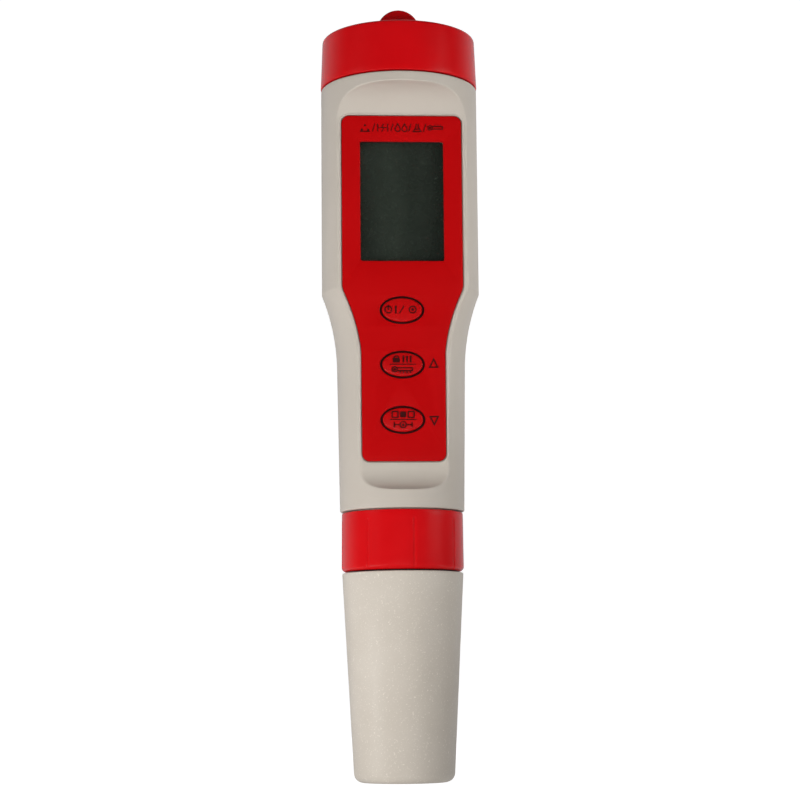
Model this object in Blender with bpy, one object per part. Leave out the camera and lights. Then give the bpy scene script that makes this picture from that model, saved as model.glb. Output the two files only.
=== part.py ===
"""A pH test pen as separate sub-parts. Metres, +Z up, front towards -Y.

The origin is at the middle of the protective cap's bottom, where the pen stands.
Slides and screws all run along the pen's own axis, except the three buttons,
which slide into the front. A screw is a slide that carries a turn.
"""

import math

import bmesh
import bpy
from mathutils import Matrix, Vector

MM = 0.001
GAP = 0.3 * MM
LARGE_STEPS = 40
BROAD_STEPS = 32
MEDIUM_STEPS = 20
SMALL_STEPS = 12
FINE_STEPS = 10
FAR = 40.0 * MM

# Barrel
BARREL_BOTTOM_Z = 63.7 * MM
BARREL_BOTTOM_R = 14.9 * MM
FLARE_START_Z = 97.5 * MM
FLARE_START_R = 15.45 * MM
FLARE_ARC_R = 51.4 * MM
SHOULDER_Z = 116.4 * MM
HEAD_R = 19.05 * MM
HEAD_TOP_Z = 167.3 * MM
WALL = 1.8 * MM
BARREL_EDGE = 0.4 * MM
CAVITY_FLOOR_Z = 66.0 * MM
CAVITY_WIDE_TOP_Z = 163.2 * MM
CAVITY_NARROW_Z = 166.0 * MM

# Flat recess in the front of the barrel, and the panel let into it
FACE_Y = -10.85 * MM
TOP_FILLET_R = 8.2 * MM
TOP_FILLET_Z = 156.7 * MM
SCOOP_R = 5.0 * MM
SCOOP_Z = 72.9 * MM
POCKET_DEPTH = 1.1 * MM
FLAT_WALL_BACK_Y = -8.35 * MM
FLAT_WALL_BOTTOM_Z = 67.6 * MM
FLAT_WALL_TOP_Z = 165.5 * MM
OPENING_BACK_Y = -7.0 * MM
PANEL_FRONT_Y = FACE_Y + 0.1 * MM
PANEL_THICK = 0.7 * MM
PANEL_BOTTOM_Z = 74.9 * MM
PANEL_TOP_Z = 158.4 * MM
PANEL_LOW_HALF = 9.9 * MM
PANEL_HIGH_HALF = 14.4 * MM
PANEL_CORNER_R = 1.8 * MM
PANEL_MARGIN = 1.2 * MM

# Display
WINDOW_W = 20.0 * MM
WINDOW_H = 29.2 * MM
WINDOW_Z = 137.5 * MM
WINDOW_CORNER_R = 0.5 * MM
LENS_FRONT_Y = -9.7 * MM
LENS_THICK = 1.0 * MM
LENS_LAP = 1.0 * MM
LCD_FRONT_Y = -7.6 * MM
LCD_W = 24.6 * MM
LCD_H = 34.2 * MM
LCD_THICK = 2.0 * MM
BEZEL_W = 27.0 * MM
BEZEL_H = 36.6 * MM
BEZEL_LIP = 0.6 * MM
ZEBRA_W = 22.0 * MM
ZEBRA_H = 2.4 * MM
ZEBRA_RISE = 2.0 * MM

# Buttons
BUTTON_X = -0.25 * MM
BUTTON_Z = (111.0 * MM, 97.9 * MM, 84.7 * MM)
KEY_W = 9.6 * MM
KEY_H = 5.7 * MM
KEY_PROUD = 0.6 * MM
KEY_HOLE_W = 10.65 * MM
KEY_HOLE_H = 6.7 * MM
KEY_FLANGE_W = 12.4 * MM
KEY_FLANGE_H = 8.4 * MM
KEY_FLANGE_THICK = 1.0 * MM
SWITCH_SIZE = 6.0 * MM
SWITCH_FRONT_Y = -5.4 * MM
SWITCH_BORE_R = 2.1 * MM
SWITCH_BORE_BACK_Y = -3.2 * MM
PLUNGER_R = 1.7 * MM
PLUNGER_BACK_Y = -4.0 * MM

# Circuit board and its carrier
BOARD_FRONT_Y = -2.5 * MM
BOARD_THICK = 1.2 * MM
BOARD_HALF_W = 12.0 * MM
BOARD_BOTTOM_Z = 79.0 * MM
BOARD_TOP_Z = 157.0 * MM
CARRIER_FRONT_Y = 2.0 * MM
CARRIER_SIZE = (23.0 * MM, 1.6 * MM, 68.0 * MM)
CARRIER_Z = 116.0 * MM
CHIP_SIZE = (9.0 * MM, 1.2 * MM, 9.0 * MM)
CHIP_Z = 128.0 * MM
BOSS_R = 2.2 * MM
SCREW_X = 8.5 * MM
SCREW_Z = (91.3 * MM, 115.0 * MM)
SCREW_HOLE_R = 1.25 * MM
SCREW_HEAD_R = 1.9 * MM
SCREW_HEAD_THICK = 0.9 * MM
SCREW_SHANK_R = 0.9 * MM

# Threaded neck and battery cap
NECK_TOP_Z = 177.0 * MM
NECK_R = 15.9 * MM
NECK_CREST_R = 16.6 * MM
NECK_BORE_R = 14.2 * MM
CAP_PITCH = 3.0 * MM
NECK_THREAD_Z = (169.0 * MM, 175.6 * MM)
CAP_THREAD_Z = (168.9 * MM, 174.4 * MM)
CAP_THREAD_WIDTHS = (1.4 * MM, 0.8 * MM)
CAP_BOTTOM_Z = 167.6 * MM
CAP_TOP_Z = 180.0 * MM
CAP_BOTTOM_R = 19.15 * MM
CAP_TOP_R = 18.7 * MM
CAP_BORE_R = 16.9 * MM
CAP_CREST_R = 16.2 * MM
CAP_CEILING_Z = 178.3 * MM
CAP_BOTTOM_EDGE = 0.3 * MM
CAP_TOP_EDGE_R = 0.9 * MM
RIVET_Z = 177.0 * MM
RIVET_R = 2.5 * MM
RIVET_HEAD_R = 3.6 * MM
RIVET_HEAD_THICK = 0.8 * MM
GASKET_INNER_R = 14.6 * MM
GASKET_OUTER_R = 16.3 * MM
PLATE_INNER_R = 2.9 * MM
PLATE_OUTER_R = 13.4 * MM
FINGER_TIP_R = 1.2 * MM
FINGER_ROOT_R = 2.2 * MM
LUG_ARC_R = 5.2 * MM
LUG_ARC_Z = 182.6 * MM
LUG_THICK = 3.5 * MM
LUG_HOLE_R = 2.0 * MM
LUG_HOLE_Z = 183.4 * MM
LUG_SUNK = 0.8 * MM

# Batteries
CELL_R = 5.8 * MM
CELL_H = 5.4 * MM
CELL_X = 6.6 * MM
CELL_BOTTOM_Z = 163.3 * MM
CELL_CAN_R = 4.6 * MM
CELL_RIM = 0.25 * MM
HOLDER_R = 13.8 * MM
HOLDER_BOTTOM_Z = 161.0 * MM
HOLDER_TOP_Z = 174.2 * MM
WELL_R = 6.1 * MM
WELL_FLOOR_Z = 162.3 * MM
HOLDER_FLAT_Y = FLAT_WALL_BACK_Y + 0.35 * MM
CONTACT_LEG_HOLE_R = 1.0 * MM
CONTACT_LEG_R = 0.6 * MM
CONTACT_LEG_BOTTOM_Z = 158.8 * MM
CONTACT_PAD_R = 4.0 * MM
CONTACT_PAD_THICK = 0.4 * MM
LEAD_R = 0.4 * MM
LEAD_Y = -0.2 * MM
LEAD_Z = (150.0 * MM, 158.5 * MM)

# Threaded spigot, collar and probe
SPIGOT_BOTTOM_Z = 54.3 * MM
SPIGOT_R = 12.6 * MM
SPIGOT_CREST_R = 13.2 * MM
SPIGOT_BORE_R = 10.6 * MM
COLLAR_PITCH = 2.5 * MM
SPIGOT_THREAD_Z = (55.6 * MM, 61.6 * MM)
COLLAR_THREAD_Z = (55.2 * MM, 60.8 * MM)
COLLAR_THREAD_WIDTHS = (1.2 * MM, 0.7 * MM)
COLLAR_BOTTOM_Z = 49.45 * MM
COLLAR_TOP_Z = 63.4 * MM
COLLAR_BOTTOM_R = 14.6 * MM
COLLAR_TOP_R = 14.5 * MM
COLLAR_BORE_R = 13.5 * MM
COLLAR_CREST_R = 12.9 * MM
COLLAR_LIP_R = 12.2 * MM
COLLAR_LIP_TOP_Z = 51.6 * MM
COLLAR_BOTTOM_EDGE_R = 1.1 * MM
COLLAR_TOP_EDGE = 0.3 * MM
GROOVE_COUNT = 8
GROOVE_FIRST_DEG = -82.0
GROOVE_R = 0.6 * MM
GROOVE_DEPTH = 0.35 * MM
GROOVE_TOP_Z = 61.5 * MM
PROBE_R = 11.9 * MM
PROBE_FLANGE_R = 13.1 * MM
PROBE_BOSS_R = 9.1 * MM
PROBE_BORE_R = 9.5 * MM
PROBE_BOTTOM_Z = 26.0 * MM
PROBE_TAPER = 0.6 * MM
PROBE_TAPER_TOP_Z = 40.0 * MM
PROBE_WEB_Z = 50.0 * MM
PROBE_BOSS_TOP_Z = 57.3 * MM
WIRE_HOLE_R = 2.2 * MM
SEAL_GROOVE_Z = (44.0 * MM, 46.0 * MM)
SEAL_GROOVE_R = 11.2 * MM
CAP_SEAL_RADII = (12.0 * MM, 0.5 * MM)
NECK_SEAL_RADII = (9.85 * MM, 0.45 * MM)
NECK_SEAL_Z = 55.7 * MM
SEAT_INNER_R = 3.8 * MM
SEAT_Z = (24.0 * MM, 29.5 * MM)
SEAT_STEPS = 30
SENSOR_RADIUS = 6.3 * MM
SENSOR_HOLE_GAP = 0.35 * MM
SENSOR_HOLE_STEPS = 14
BULB_R = 3.9 * MM
BULB_Z = 17.6 * MM
STEM_R = 3.4 * MM
STEM_TOP_Z = 48.0 * MM
GLASS_THICK = 0.6 * MM
WIRE_R = 0.6 * MM
WIRE_Z = (17.0 * MM, 57.0 * MM)
GUARD_BOTTOM_Z = 12.8 * MM
GUARD_BOTTOM_R = 10.5 * MM
GUARD_TOP_R = 11.1 * MM
GUARD_SLOT_W = 7.0 * MM
GUARD_SLOT_H = 9.0 * MM

# Plug, socket and ribbon between the probe and the circuit board
PLUG_R = 8.8 * MM
PLUG_Z = (57.6 * MM, 59.6 * MM)
SOCKET_R = 10.2 * MM
SOCKET_RIM_R = 12.4 * MM
SOCKET_Z = (60.0 * MM, 66.3 * MM, 67.3 * MM)
PIN_COUNT = 5
PIN_CIRCLE_R = 5.5 * MM
PIN_R = 0.5 * MM
PIN_TOP_Z = 64.4 * MM
PIN_HOLE_R = 0.9 * MM
PIN_HOLE_TOP_Z = 65.2 * MM
RIBBON_HALF_W = 3.0 * MM
RIBBON_HALF_THICK = 0.3 * MM

# Protective cap
SLEEVE_TOP_Z = 49.1 * MM
SLEEVE_TOP_R = 14.45 * MM
SLEEVE_BOTTOM_R = 11.95 * MM
SLEEVE_WALL = 1.4 * MM
SLEEVE_FLOOR = 2.0 * MM
SLEEVE_EDGE_R = 2.2 * MM
SLEEVE_LIP = 0.3 * MM
SPONGE_R = 10.2 * MM
SPONGE_TOP_Z = 7.3 * MM

# Colours (linear), roughness, metallic
BEIGE = ((0.52, 0.47, 0.40), 0.42, 0.0)
CAP_RED = ((0.58, 0.004, 0.008), 0.30, 0.0)
PANEL_RED = ((0.43, 0.002, 0.004), 0.34, 0.0)
KEY_RED = ((0.50, 0.003, 0.005), 0.40, 0.0)
CLEAR = ((0.85, 0.88, 0.86), 0.05, 0.0)
DARK = ((0.015, 0.017, 0.016), 0.45, 0.0)
DISPLAY = ((0.030, 0.042, 0.030), 0.20, 0.0)
BOARD_GREEN = ((0.02, 0.13, 0.05), 0.45, 0.0)
STEEL = ((0.60, 0.60, 0.58), 0.28, 1.0)
GOLD = ((0.80, 0.56, 0.20), 0.25, 1.0)
WHITE = ((0.72, 0.72, 0.70), 0.50, 0.0)
RUBBER = ((0.02, 0.02, 0.02), 0.65, 0.0)
FOAM = ((0.70, 0.66, 0.40), 0.95, 0.0)


def clear_scene():
    for old in list(bpy.data.objects):
        bpy.data.objects.remove(old, do_unlink=True)


def make_material(name, finish):
    colour, roughness, metallic = finish
    material = bpy.data.materials.new(name)
    material.use_nodes = True
    shader = material.node_tree.nodes["Principled BSDF"]
    shader.inputs["Base Color"].default_value = (*colour, 1.0)
    shader.inputs["Roughness"].default_value = roughness
    shader.inputs["Metallic"].default_value = metallic
    return material


def add_object(name, shape, finish=None, smooth=True):
    """Turn a bmesh into an object; without a finish it is a hidden cutter."""
    bmesh.ops.recalc_face_normals(shape, faces=shape.faces)
    if shape.calc_volume(signed=True) < 0.0:
        bmesh.ops.reverse_faces(shape, faces=shape.faces)
    mesh = bpy.data.meshes.new(name)
    shape.to_mesh(mesh)
    shape.free()
    if smooth:
        mesh.shade_smooth()
        mesh.set_sharp_from_angle(angle=math.radians(32.0))
    item = bpy.data.objects.new(name, mesh)
    bpy.context.scene.collection.objects.link(item)
    if finish is None:
        item.hide_render = True
        item.display_type = "WIRE"
    else:
        mesh.materials.append(make_material(name, finish))
    return item


def combine(target, tool, operation):
    """Add a Boolean that cuts, joins or trims the target with the tool."""
    tool.hide_render = True
    tool.display_type = "WIRE"
    modifier = target.modifiers.new(tool.name, "BOOLEAN")
    modifier.operation = operation
    modifier.object = tool
    modifier.solver = "EXACT"


def cut(target, tool):
    combine(target, tool, "DIFFERENCE")


def join(target, tool):
    combine(target, tool, "UNION")


def arc(centre_u, centre_v, radius, start_deg, end_deg, steps):
    """Points along a circular arc, both ends included."""
    points = []
    for step in range(steps + 1):
        angle = math.radians(start_deg + (end_deg - start_deg) * step / steps)
        points.append((centre_u + radius * math.cos(angle), centre_v + radius * math.sin(angle)))
    return points


def turned_shape(profile, steps, centre=(0.0, 0.0)):
    """Revolve a closed (radius, z) outline about the vertical line through centre."""
    shape = bmesh.new()
    rings = []
    for radius, height in profile:
        if radius < 1e-7:
            rings.append([shape.verts.new((centre[0], centre[1], height))] * steps)
            continue
        ring = []
        for step in range(steps):
            angle = 2.0 * math.pi * step / steps
            x = centre[0] + radius * math.cos(angle)
            y = centre[1] + radius * math.sin(angle)
            ring.append(shape.verts.new((x, y, height)))
        rings.append(ring)
    for index, low in enumerate(rings):
        high = rings[(index + 1) % len(rings)]
        for step in range(steps):
            after = (step + 1) % steps
            corners = []
            for vertex in (low[step], low[after], high[after], high[step]):
                if vertex not in corners:
                    corners.append(vertex)
            if len(corners) > 2:
                shape.faces.new(corners)
    return shape


def turned(name, profile, finish=None, steps=LARGE_STEPS, centre=(0.0, 0.0)):
    return add_object(name, turned_shape(profile, steps, centre), finish)


def prism_shape(outline, low, high, axis):
    """Extrude a closed outline along X, Y or Z; the outline holds the other two axes in order."""
    shape = bmesh.new()
    ends = []
    for level in (low, high):
        ring = []
        for u, v in outline:
            point = {"X": (level, u, v), "Y": (u, level, v), "Z": (u, v, level)}[axis]
            ring.append(shape.verts.new(point))
        ends.append(ring)
    near, far = ends
    shape.faces.new(near)
    shape.faces.new(list(reversed(far)))
    for index in range(len(outline)):
        after = (index + 1) % len(outline)
        shape.faces.new((near[index], near[after], far[after], far[index]))
    return shape


def prism(name, outline, low, high, axis, finish=None, smooth=True):
    return add_object(name, prism_shape(outline, low, high, axis), finish, smooth)


def rectangle(centre_u, centre_v, width, height):
    half_w = width / 2.0
    half_h = height / 2.0
    return [
        (centre_u - half_w, centre_v - half_h),
        (centre_u + half_w, centre_v - half_h),
        (centre_u + half_w, centre_v + half_h),
        (centre_u - half_w, centre_v + half_h),
    ]


def rectangle_from(low_u, high_u, low_v, high_v):
    return [(low_u, low_v), (high_u, low_v), (high_u, high_v), (low_u, high_v)]


def block(name, centre, size, finish=None):
    outline = rectangle(centre[0], centre[2], size[0], size[2])
    return prism(name, outline, centre[1] - size[1] / 2.0, centre[1] + size[1] / 2.0, "Y", finish, False)


def ellipse(centre_u, centre_v, width, height, steps=MEDIUM_STEPS):
    points = []
    for step in range(steps):
        angle = 2.0 * math.pi * step / steps
        u = centre_u + width / 2.0 * math.cos(angle)
        v = centre_v + height / 2.0 * math.sin(angle)
        points.append((u, v))
    return points


def rounded(corners, steps=4):
    """Round each (u, v, radius) corner of an outline with a tangent arc."""
    points = []
    count = len(corners)
    for index, (u, v, radius) in enumerate(corners):
        here = Vector((u, v))
        if radius == 0.0:
            points.append((u, v))
            continue
        before = Vector(corners[index - 1][:2]) - here
        after = Vector(corners[(index + 1) % count][:2]) - here
        half = before.angle(after) / 2.0
        reach = radius / math.tan(half)
        start = here + before.normalized() * reach
        end = here + after.normalized() * reach
        centre = here + (before.normalized() + after.normalized()).normalized() * (radius / math.sin(half))
        sweep = (start - centre).angle_signed(end - centre)
        for step in range(steps + 1):
            arm = (start - centre).copy()
            arm.rotate(Matrix.Rotation(-sweep * step / steps, 2))
            points.append(tuple(centre + arm))
    return points


def rod(name, start, end, radius, finish=None, steps=SMALL_STEPS):
    """A plain round rod between two points."""
    direction = Vector(end) - Vector(start)
    shape = bmesh.new()
    bmesh.ops.create_cone(
        shape, cap_ends=True, segments=steps, radius1=radius, radius2=radius, depth=direction.length
    )
    turn = direction.to_track_quat("Z", "Y").to_matrix().to_4x4()
    middle = Matrix.Translation((Vector(start) + Vector(end)) / 2.0)
    shape.transform(middle @ turn)
    return add_object(name, shape, finish)


def torus(name, radii, height, finish):
    ring_r, tube_r = radii
    profile = arc(ring_r, height, tube_r, 0.0, 300.0, 5)
    return turned(name, profile, finish, BROAD_STEPS)


def thread_ridge(name, core_r, crest_r, span_z, pitch, phase, widths):
    """A right-hand helical ridge; its root is sunk into the core so that a union joins them."""
    outward = 1.0 if crest_r > core_r else -1.0
    start_z, end_z = span_z
    root_width, crest_width = widths
    sunk_r = core_r - outward * 0.35 * MM
    hidden_r = core_r - outward * 0.15 * MM
    turns = (end_z - start_z) / pitch
    count = int(turns * LARGE_STEPS)
    fade = LARGE_STEPS // 8
    shape = bmesh.new()
    sections = []
    for index in range(count + 1):
        angle = 2.0 * math.pi * index / LARGE_STEPS
        height = start_z + phase * pitch + pitch * index / LARGE_STEPS
        rise = min(1.0, index / fade, (count - index) / fade)
        top_r = hidden_r + (crest_r - hidden_r) * rise
        section = []
        for radius, offset in (
            (sunk_r, -root_width / 2.0),
            (top_r, -crest_width / 2.0),
            (top_r, crest_width / 2.0),
            (sunk_r, root_width / 2.0),
        ):
            point = (radius * math.cos(angle), radius * math.sin(angle), height + offset)
            section.append(shape.verts.new(point))
        sections.append(section)
    for low, high in zip(sections, sections[1:]):
        for side in range(4):
            after = (side + 1) % 4
            shape.faces.new((low[side], low[after], high[after], high[side]))
    shape.faces.new(sections[0])
    shape.faces.new(list(reversed(sections[-1])))
    return add_object(name, shape)


def barrel_radius(height):
    """Outer radius of the barrel: a slight taper, a concave flare, then the straight head."""
    if height <= FLARE_START_Z:
        share = (height - BARREL_BOTTOM_Z) / (FLARE_START_Z - BARREL_BOTTOM_Z)
        return BARREL_BOTTOM_R + (FLARE_START_R - BARREL_BOTTOM_R) * share
    if height >= SHOULDER_Z:
        return HEAD_R
    rise = height - FLARE_START_Z
    return FLARE_START_R + FLARE_ARC_R - math.sqrt(FLARE_ARC_R ** 2 - rise ** 2)


def flare_heights(steps):
    return [FLARE_START_Z + (SHOULDER_Z - FLARE_START_Z) * step / steps for step in range(steps + 1)]


def flat_half_width(height):
    """Half the width of the flat front face where it meets the round barrel."""
    return math.sqrt(barrel_radius(height) ** 2 - FACE_Y ** 2)


def panel_outline(grow):
    """The panel's outline in X and Z: wide at the window, narrow at the buttons."""
    low = PANEL_LOW_HALF + grow
    high = PANEL_HIGH_HALF + grow
    radius = PANEL_CORNER_R + grow
    side = [(low, PANEL_BOTTOM_Z - grow, radius)]
    for height in flare_heights(8)[1:]:
        width = flat_half_width(height) - PANEL_MARGIN + grow
        if low < width < high:
            side.append((width, height, 0.0))
    side.append((high, SHOULDER_Z + 0.4 * MM, 0.0))
    side.append((high, PANEL_TOP_Z + grow, radius))
    mirrored = [(-x, z, corner) for x, z, corner in reversed(side)]
    return rounded(side + mirrored)


def add_barrel_cutters(barrel):
    cavity = [
        (0.0, SPIGOT_BOTTOM_Z - MM),
        (SPIGOT_BORE_R, SPIGOT_BOTTOM_Z - MM),
        (SPIGOT_BORE_R, CAVITY_FLOOR_Z),
        (barrel_radius(CAVITY_FLOOR_Z) - WALL, CAVITY_FLOOR_Z),
    ]
    cavity += [(barrel_radius(height) - WALL, height) for height in flare_heights(6)]
    cavity += [
        (HEAD_R - WALL, CAVITY_WIDE_TOP_Z),
        (NECK_BORE_R, CAVITY_NARROW_Z),
        (NECK_BORE_R, NECK_TOP_Z + MM),
        (0.0, NECK_TOP_Z + MM),
    ]
    hollow = turned("cavity_cutter", cavity)
    wall_middle = (0.0, FLAT_WALL_BACK_Y - FAR / 2.0, (FLAT_WALL_BOTTOM_Z + FLAT_WALL_TOP_Z) / 2.0)
    wall_size = (2.0 * FAR, FAR, FLAT_WALL_TOP_Z - FLAT_WALL_BOTTOM_Z)
    cut(hollow, block("flat_wall_keeper", wall_middle, wall_size))
    cut(barrel, hollow)

    side = [(-FAR, SCOOP_Z - SCOOP_R)]
    side += arc(FACE_Y - SCOOP_R, SCOOP_Z, SCOOP_R, -90.0, 0.0, 7)
    side += arc(FACE_Y - TOP_FILLET_R, TOP_FILLET_Z, TOP_FILLET_R, 0.0, 90.0, 8)
    side.append((-FAR, TOP_FILLET_Z + TOP_FILLET_R))
    cut(barrel, prism("recess_cutter", side, -FAR, FAR, "X"))

    floor_y = FACE_Y + POCKET_DEPTH
    cut(barrel, prism("pocket_cutter", panel_outline(GAP), -FAR, floor_y, "Y"))
    room = 2.0 * (LENS_LAP + GAP)
    window = rectangle(0.0, WINDOW_Z, WINDOW_W + room, WINDOW_H + room)
    cut(barrel, prism("lens_opening_cutter", window, floor_y - MM, OPENING_BACK_Y, "Y"))
    for number, height in enumerate(BUTTON_Z, start=1):
        hole = ellipse(BUTTON_X, height, KEY_HOLE_W, KEY_HOLE_H)
        cut(barrel, prism(f"barrel_key_cutter_{number}", hole, floor_y - MM, OPENING_BACK_Y, "Y"))


def make_barrel():
    profile = [
        (0.0, SPIGOT_BOTTOM_Z),
        (SPIGOT_R - BARREL_EDGE, SPIGOT_BOTTOM_Z),
        (SPIGOT_R, SPIGOT_BOTTOM_Z + BARREL_EDGE),
        (SPIGOT_R, BARREL_BOTTOM_Z),
        (BARREL_BOTTOM_R - BARREL_EDGE, BARREL_BOTTOM_Z),
        (BARREL_BOTTOM_R, BARREL_BOTTOM_Z + BARREL_EDGE),
    ]
    profile += [(barrel_radius(height), height) for height in flare_heights(8)]
    profile += [
        (HEAD_R, HEAD_TOP_Z - BARREL_EDGE),
        (HEAD_R - BARREL_EDGE, HEAD_TOP_Z),
        (NECK_R, HEAD_TOP_Z),
        (NECK_R, NECK_TOP_Z - BARREL_EDGE),
        (NECK_R - BARREL_EDGE, NECK_TOP_Z),
        (0.0, NECK_TOP_Z),
    ]
    barrel = turned("body_shell", profile, BEIGE)
    join(barrel, thread_ridge(
        "neck_thread", NECK_R, NECK_CREST_R, NECK_THREAD_Z, CAP_PITCH, 0.0, CAP_THREAD_WIDTHS
    ))
    join(barrel, thread_ridge(
        "spigot_thread", SPIGOT_R, SPIGOT_CREST_R, SPIGOT_THREAD_Z, COLLAR_PITCH, 0.0, COLLAR_THREAD_WIDTHS
    ))
    add_barrel_cutters(barrel)


def make_panel():
    back = PANEL_FRONT_Y + PANEL_THICK
    panel = prism("front_panel", panel_outline(0.0), PANEL_FRONT_Y, back, "Y", PANEL_RED)
    window = [(x, z, WINDOW_CORNER_R) for x, z in rectangle(0.0, WINDOW_Z, WINDOW_W, WINDOW_H)]
    cut(panel, prism("panel_window_cutter", rounded(window), FACE_Y - MM, back + MM, "Y"))
    for number, height in enumerate(BUTTON_Z, start=1):
        hole = ellipse(BUTTON_X, height, KEY_HOLE_W, KEY_HOLE_H)
        cut(panel, prism(f"panel_key_cutter_{number}", hole, FACE_Y - MM, back + MM, "Y"))


def make_display():
    lens_size = (WINDOW_W + 2.0 * LENS_LAP, LENS_THICK, WINDOW_H + 2.0 * LENS_LAP)
    block("window_lens", (0.0, LENS_FRONT_Y + LENS_THICK / 2.0, WINDOW_Z), lens_size, CLEAR)

    bezel_front = LCD_FRONT_Y - BEZEL_LIP
    bezel_back = BOARD_FRONT_Y - GAP
    bezel_middle = (bezel_front + bezel_back) / 2.0
    bezel_size = (BEZEL_W, bezel_back - bezel_front, BEZEL_H)
    bezel = block("lcd_bezel", (0.0, bezel_middle, WINDOW_Z), bezel_size, DARK)
    sight = rectangle(0.0, WINDOW_Z, WINDOW_W + 2.0 * GAP, WINDOW_H + 2.0 * GAP)
    cut(bezel, prism("bezel_sight_cutter", sight, bezel_front - MM, bezel_back + MM, "Y"))
    room = rectangle(0.0, WINDOW_Z, LCD_W + 2.0 * GAP, LCD_H + 2.0 * GAP)
    cut(bezel, prism("bezel_room_cutter", room, LCD_FRONT_Y - GAP, bezel_back + MM, "Y"))

    glass_y = LCD_FRONT_Y + LCD_THICK / 2.0
    block("lcd_module", (0.0, glass_y, WINDOW_Z), (LCD_W, LCD_THICK, LCD_H), DISPLAY)

    strip_front = LCD_FRONT_Y + LCD_THICK + GAP
    strip_back = BOARD_FRONT_Y - GAP
    strip_y = (strip_front + strip_back) / 2.0
    strip_z = WINDOW_Z - LCD_H / 2.0 + ZEBRA_RISE
    strip_size = (ZEBRA_W, strip_back - strip_front, ZEBRA_H)
    block("lcd_zebra_strip", (0.0, strip_y, strip_z), strip_size, RUBBER)


def make_board():
    back = BOARD_FRONT_Y + BOARD_THICK
    middle_z = (BOARD_BOTTOM_Z + BOARD_TOP_Z) / 2.0
    size = (2.0 * BOARD_HALF_W, BOARD_THICK, BOARD_TOP_Z - BOARD_BOTTOM_Z)
    board = block("circuit_board", (0.0, BOARD_FRONT_Y + BOARD_THICK / 2.0, middle_z), size, BOARD_GREEN)
    carrier_y = CARRIER_FRONT_Y + CARRIER_SIZE[1] / 2.0
    carrier = block("board_carrier", (0.0, carrier_y, CARRIER_Z), CARRIER_SIZE, WHITE)
    block("controller_chip", (0.0, back + GAP + CHIP_SIZE[1] / 2.0, CHIP_Z), CHIP_SIZE, DARK)

    number = 0
    for height in SCREW_Z:
        for side in (-1.0, 1.0):
            number += 1
            x = side * SCREW_X
            boss_ends = ((x, back + GAP, height), (x, carrier_y, height))
            join(carrier, rod(f"boss_{number}", *boss_ends, BOSS_R))
            hole_ends = ((x, BOARD_FRONT_Y - MM, height), (x, CARRIER_FRONT_Y + MM, height))
            hole = rod(f"screw_cutter_{number}", *hole_ends, SCREW_HOLE_R)
            cut(carrier, hole)
            cut(board, hole)
            head_back = BOARD_FRONT_Y - GAP
            head_front = head_back - SCREW_HEAD_THICK
            head_ends = ((x, head_front, height), (x, head_back, height))
            screw = rod(f"board_screw_{number}", *head_ends, SCREW_HEAD_R, STEEL)
            shank_ends = ((x, head_front + GAP, height), (x, CARRIER_FRONT_Y - GAP, height))
            join(screw, rod(f"screw_shank_{number}", *shank_ends, SCREW_SHANK_R))


def make_button(number, height):
    """An oval key with a flange behind the barrel's flat wall, and the switch it presses."""
    key_front = PANEL_FRONT_Y - KEY_PROUD
    flange_front = FLAT_WALL_BACK_Y + GAP
    flange_back = flange_front + KEY_FLANGE_THICK
    key_outline = ellipse(BUTTON_X, height, KEY_W, KEY_H)
    key_back = (flange_front + flange_back) / 2.0
    key = prism(f"button_key_{number}", key_outline, key_front, key_back, "Y", KEY_RED)
    flange_outline = ellipse(BUTTON_X, height, KEY_FLANGE_W, KEY_FLANGE_H)
    join(key, prism(f"key_flange_{number}", flange_outline, flange_front, flange_back, "Y"))

    switch_back = BOARD_FRONT_Y - GAP
    switch_size = (SWITCH_SIZE, switch_back - SWITCH_FRONT_Y, SWITCH_SIZE)
    switch_middle = (BUTTON_X, (SWITCH_FRONT_Y + switch_back) / 2.0, height)
    switch = block(f"switch_body_{number}", switch_middle, switch_size, DARK)
    bore_ends = ((BUTTON_X, SWITCH_FRONT_Y - MM, height), (BUTTON_X, SWITCH_BORE_BACK_Y, height))
    cut(switch, rod(f"switch_bore_{number}", *bore_ends, SWITCH_BORE_R))
    plunger_ends = ((BUTTON_X, flange_back + GAP, height), (BUTTON_X, PLUNGER_BACK_Y, height))
    plunger = rod(f"switch_plunger_{number}", *plunger_ends, PLUNGER_R, WHITE)
    return key, plunger


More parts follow.
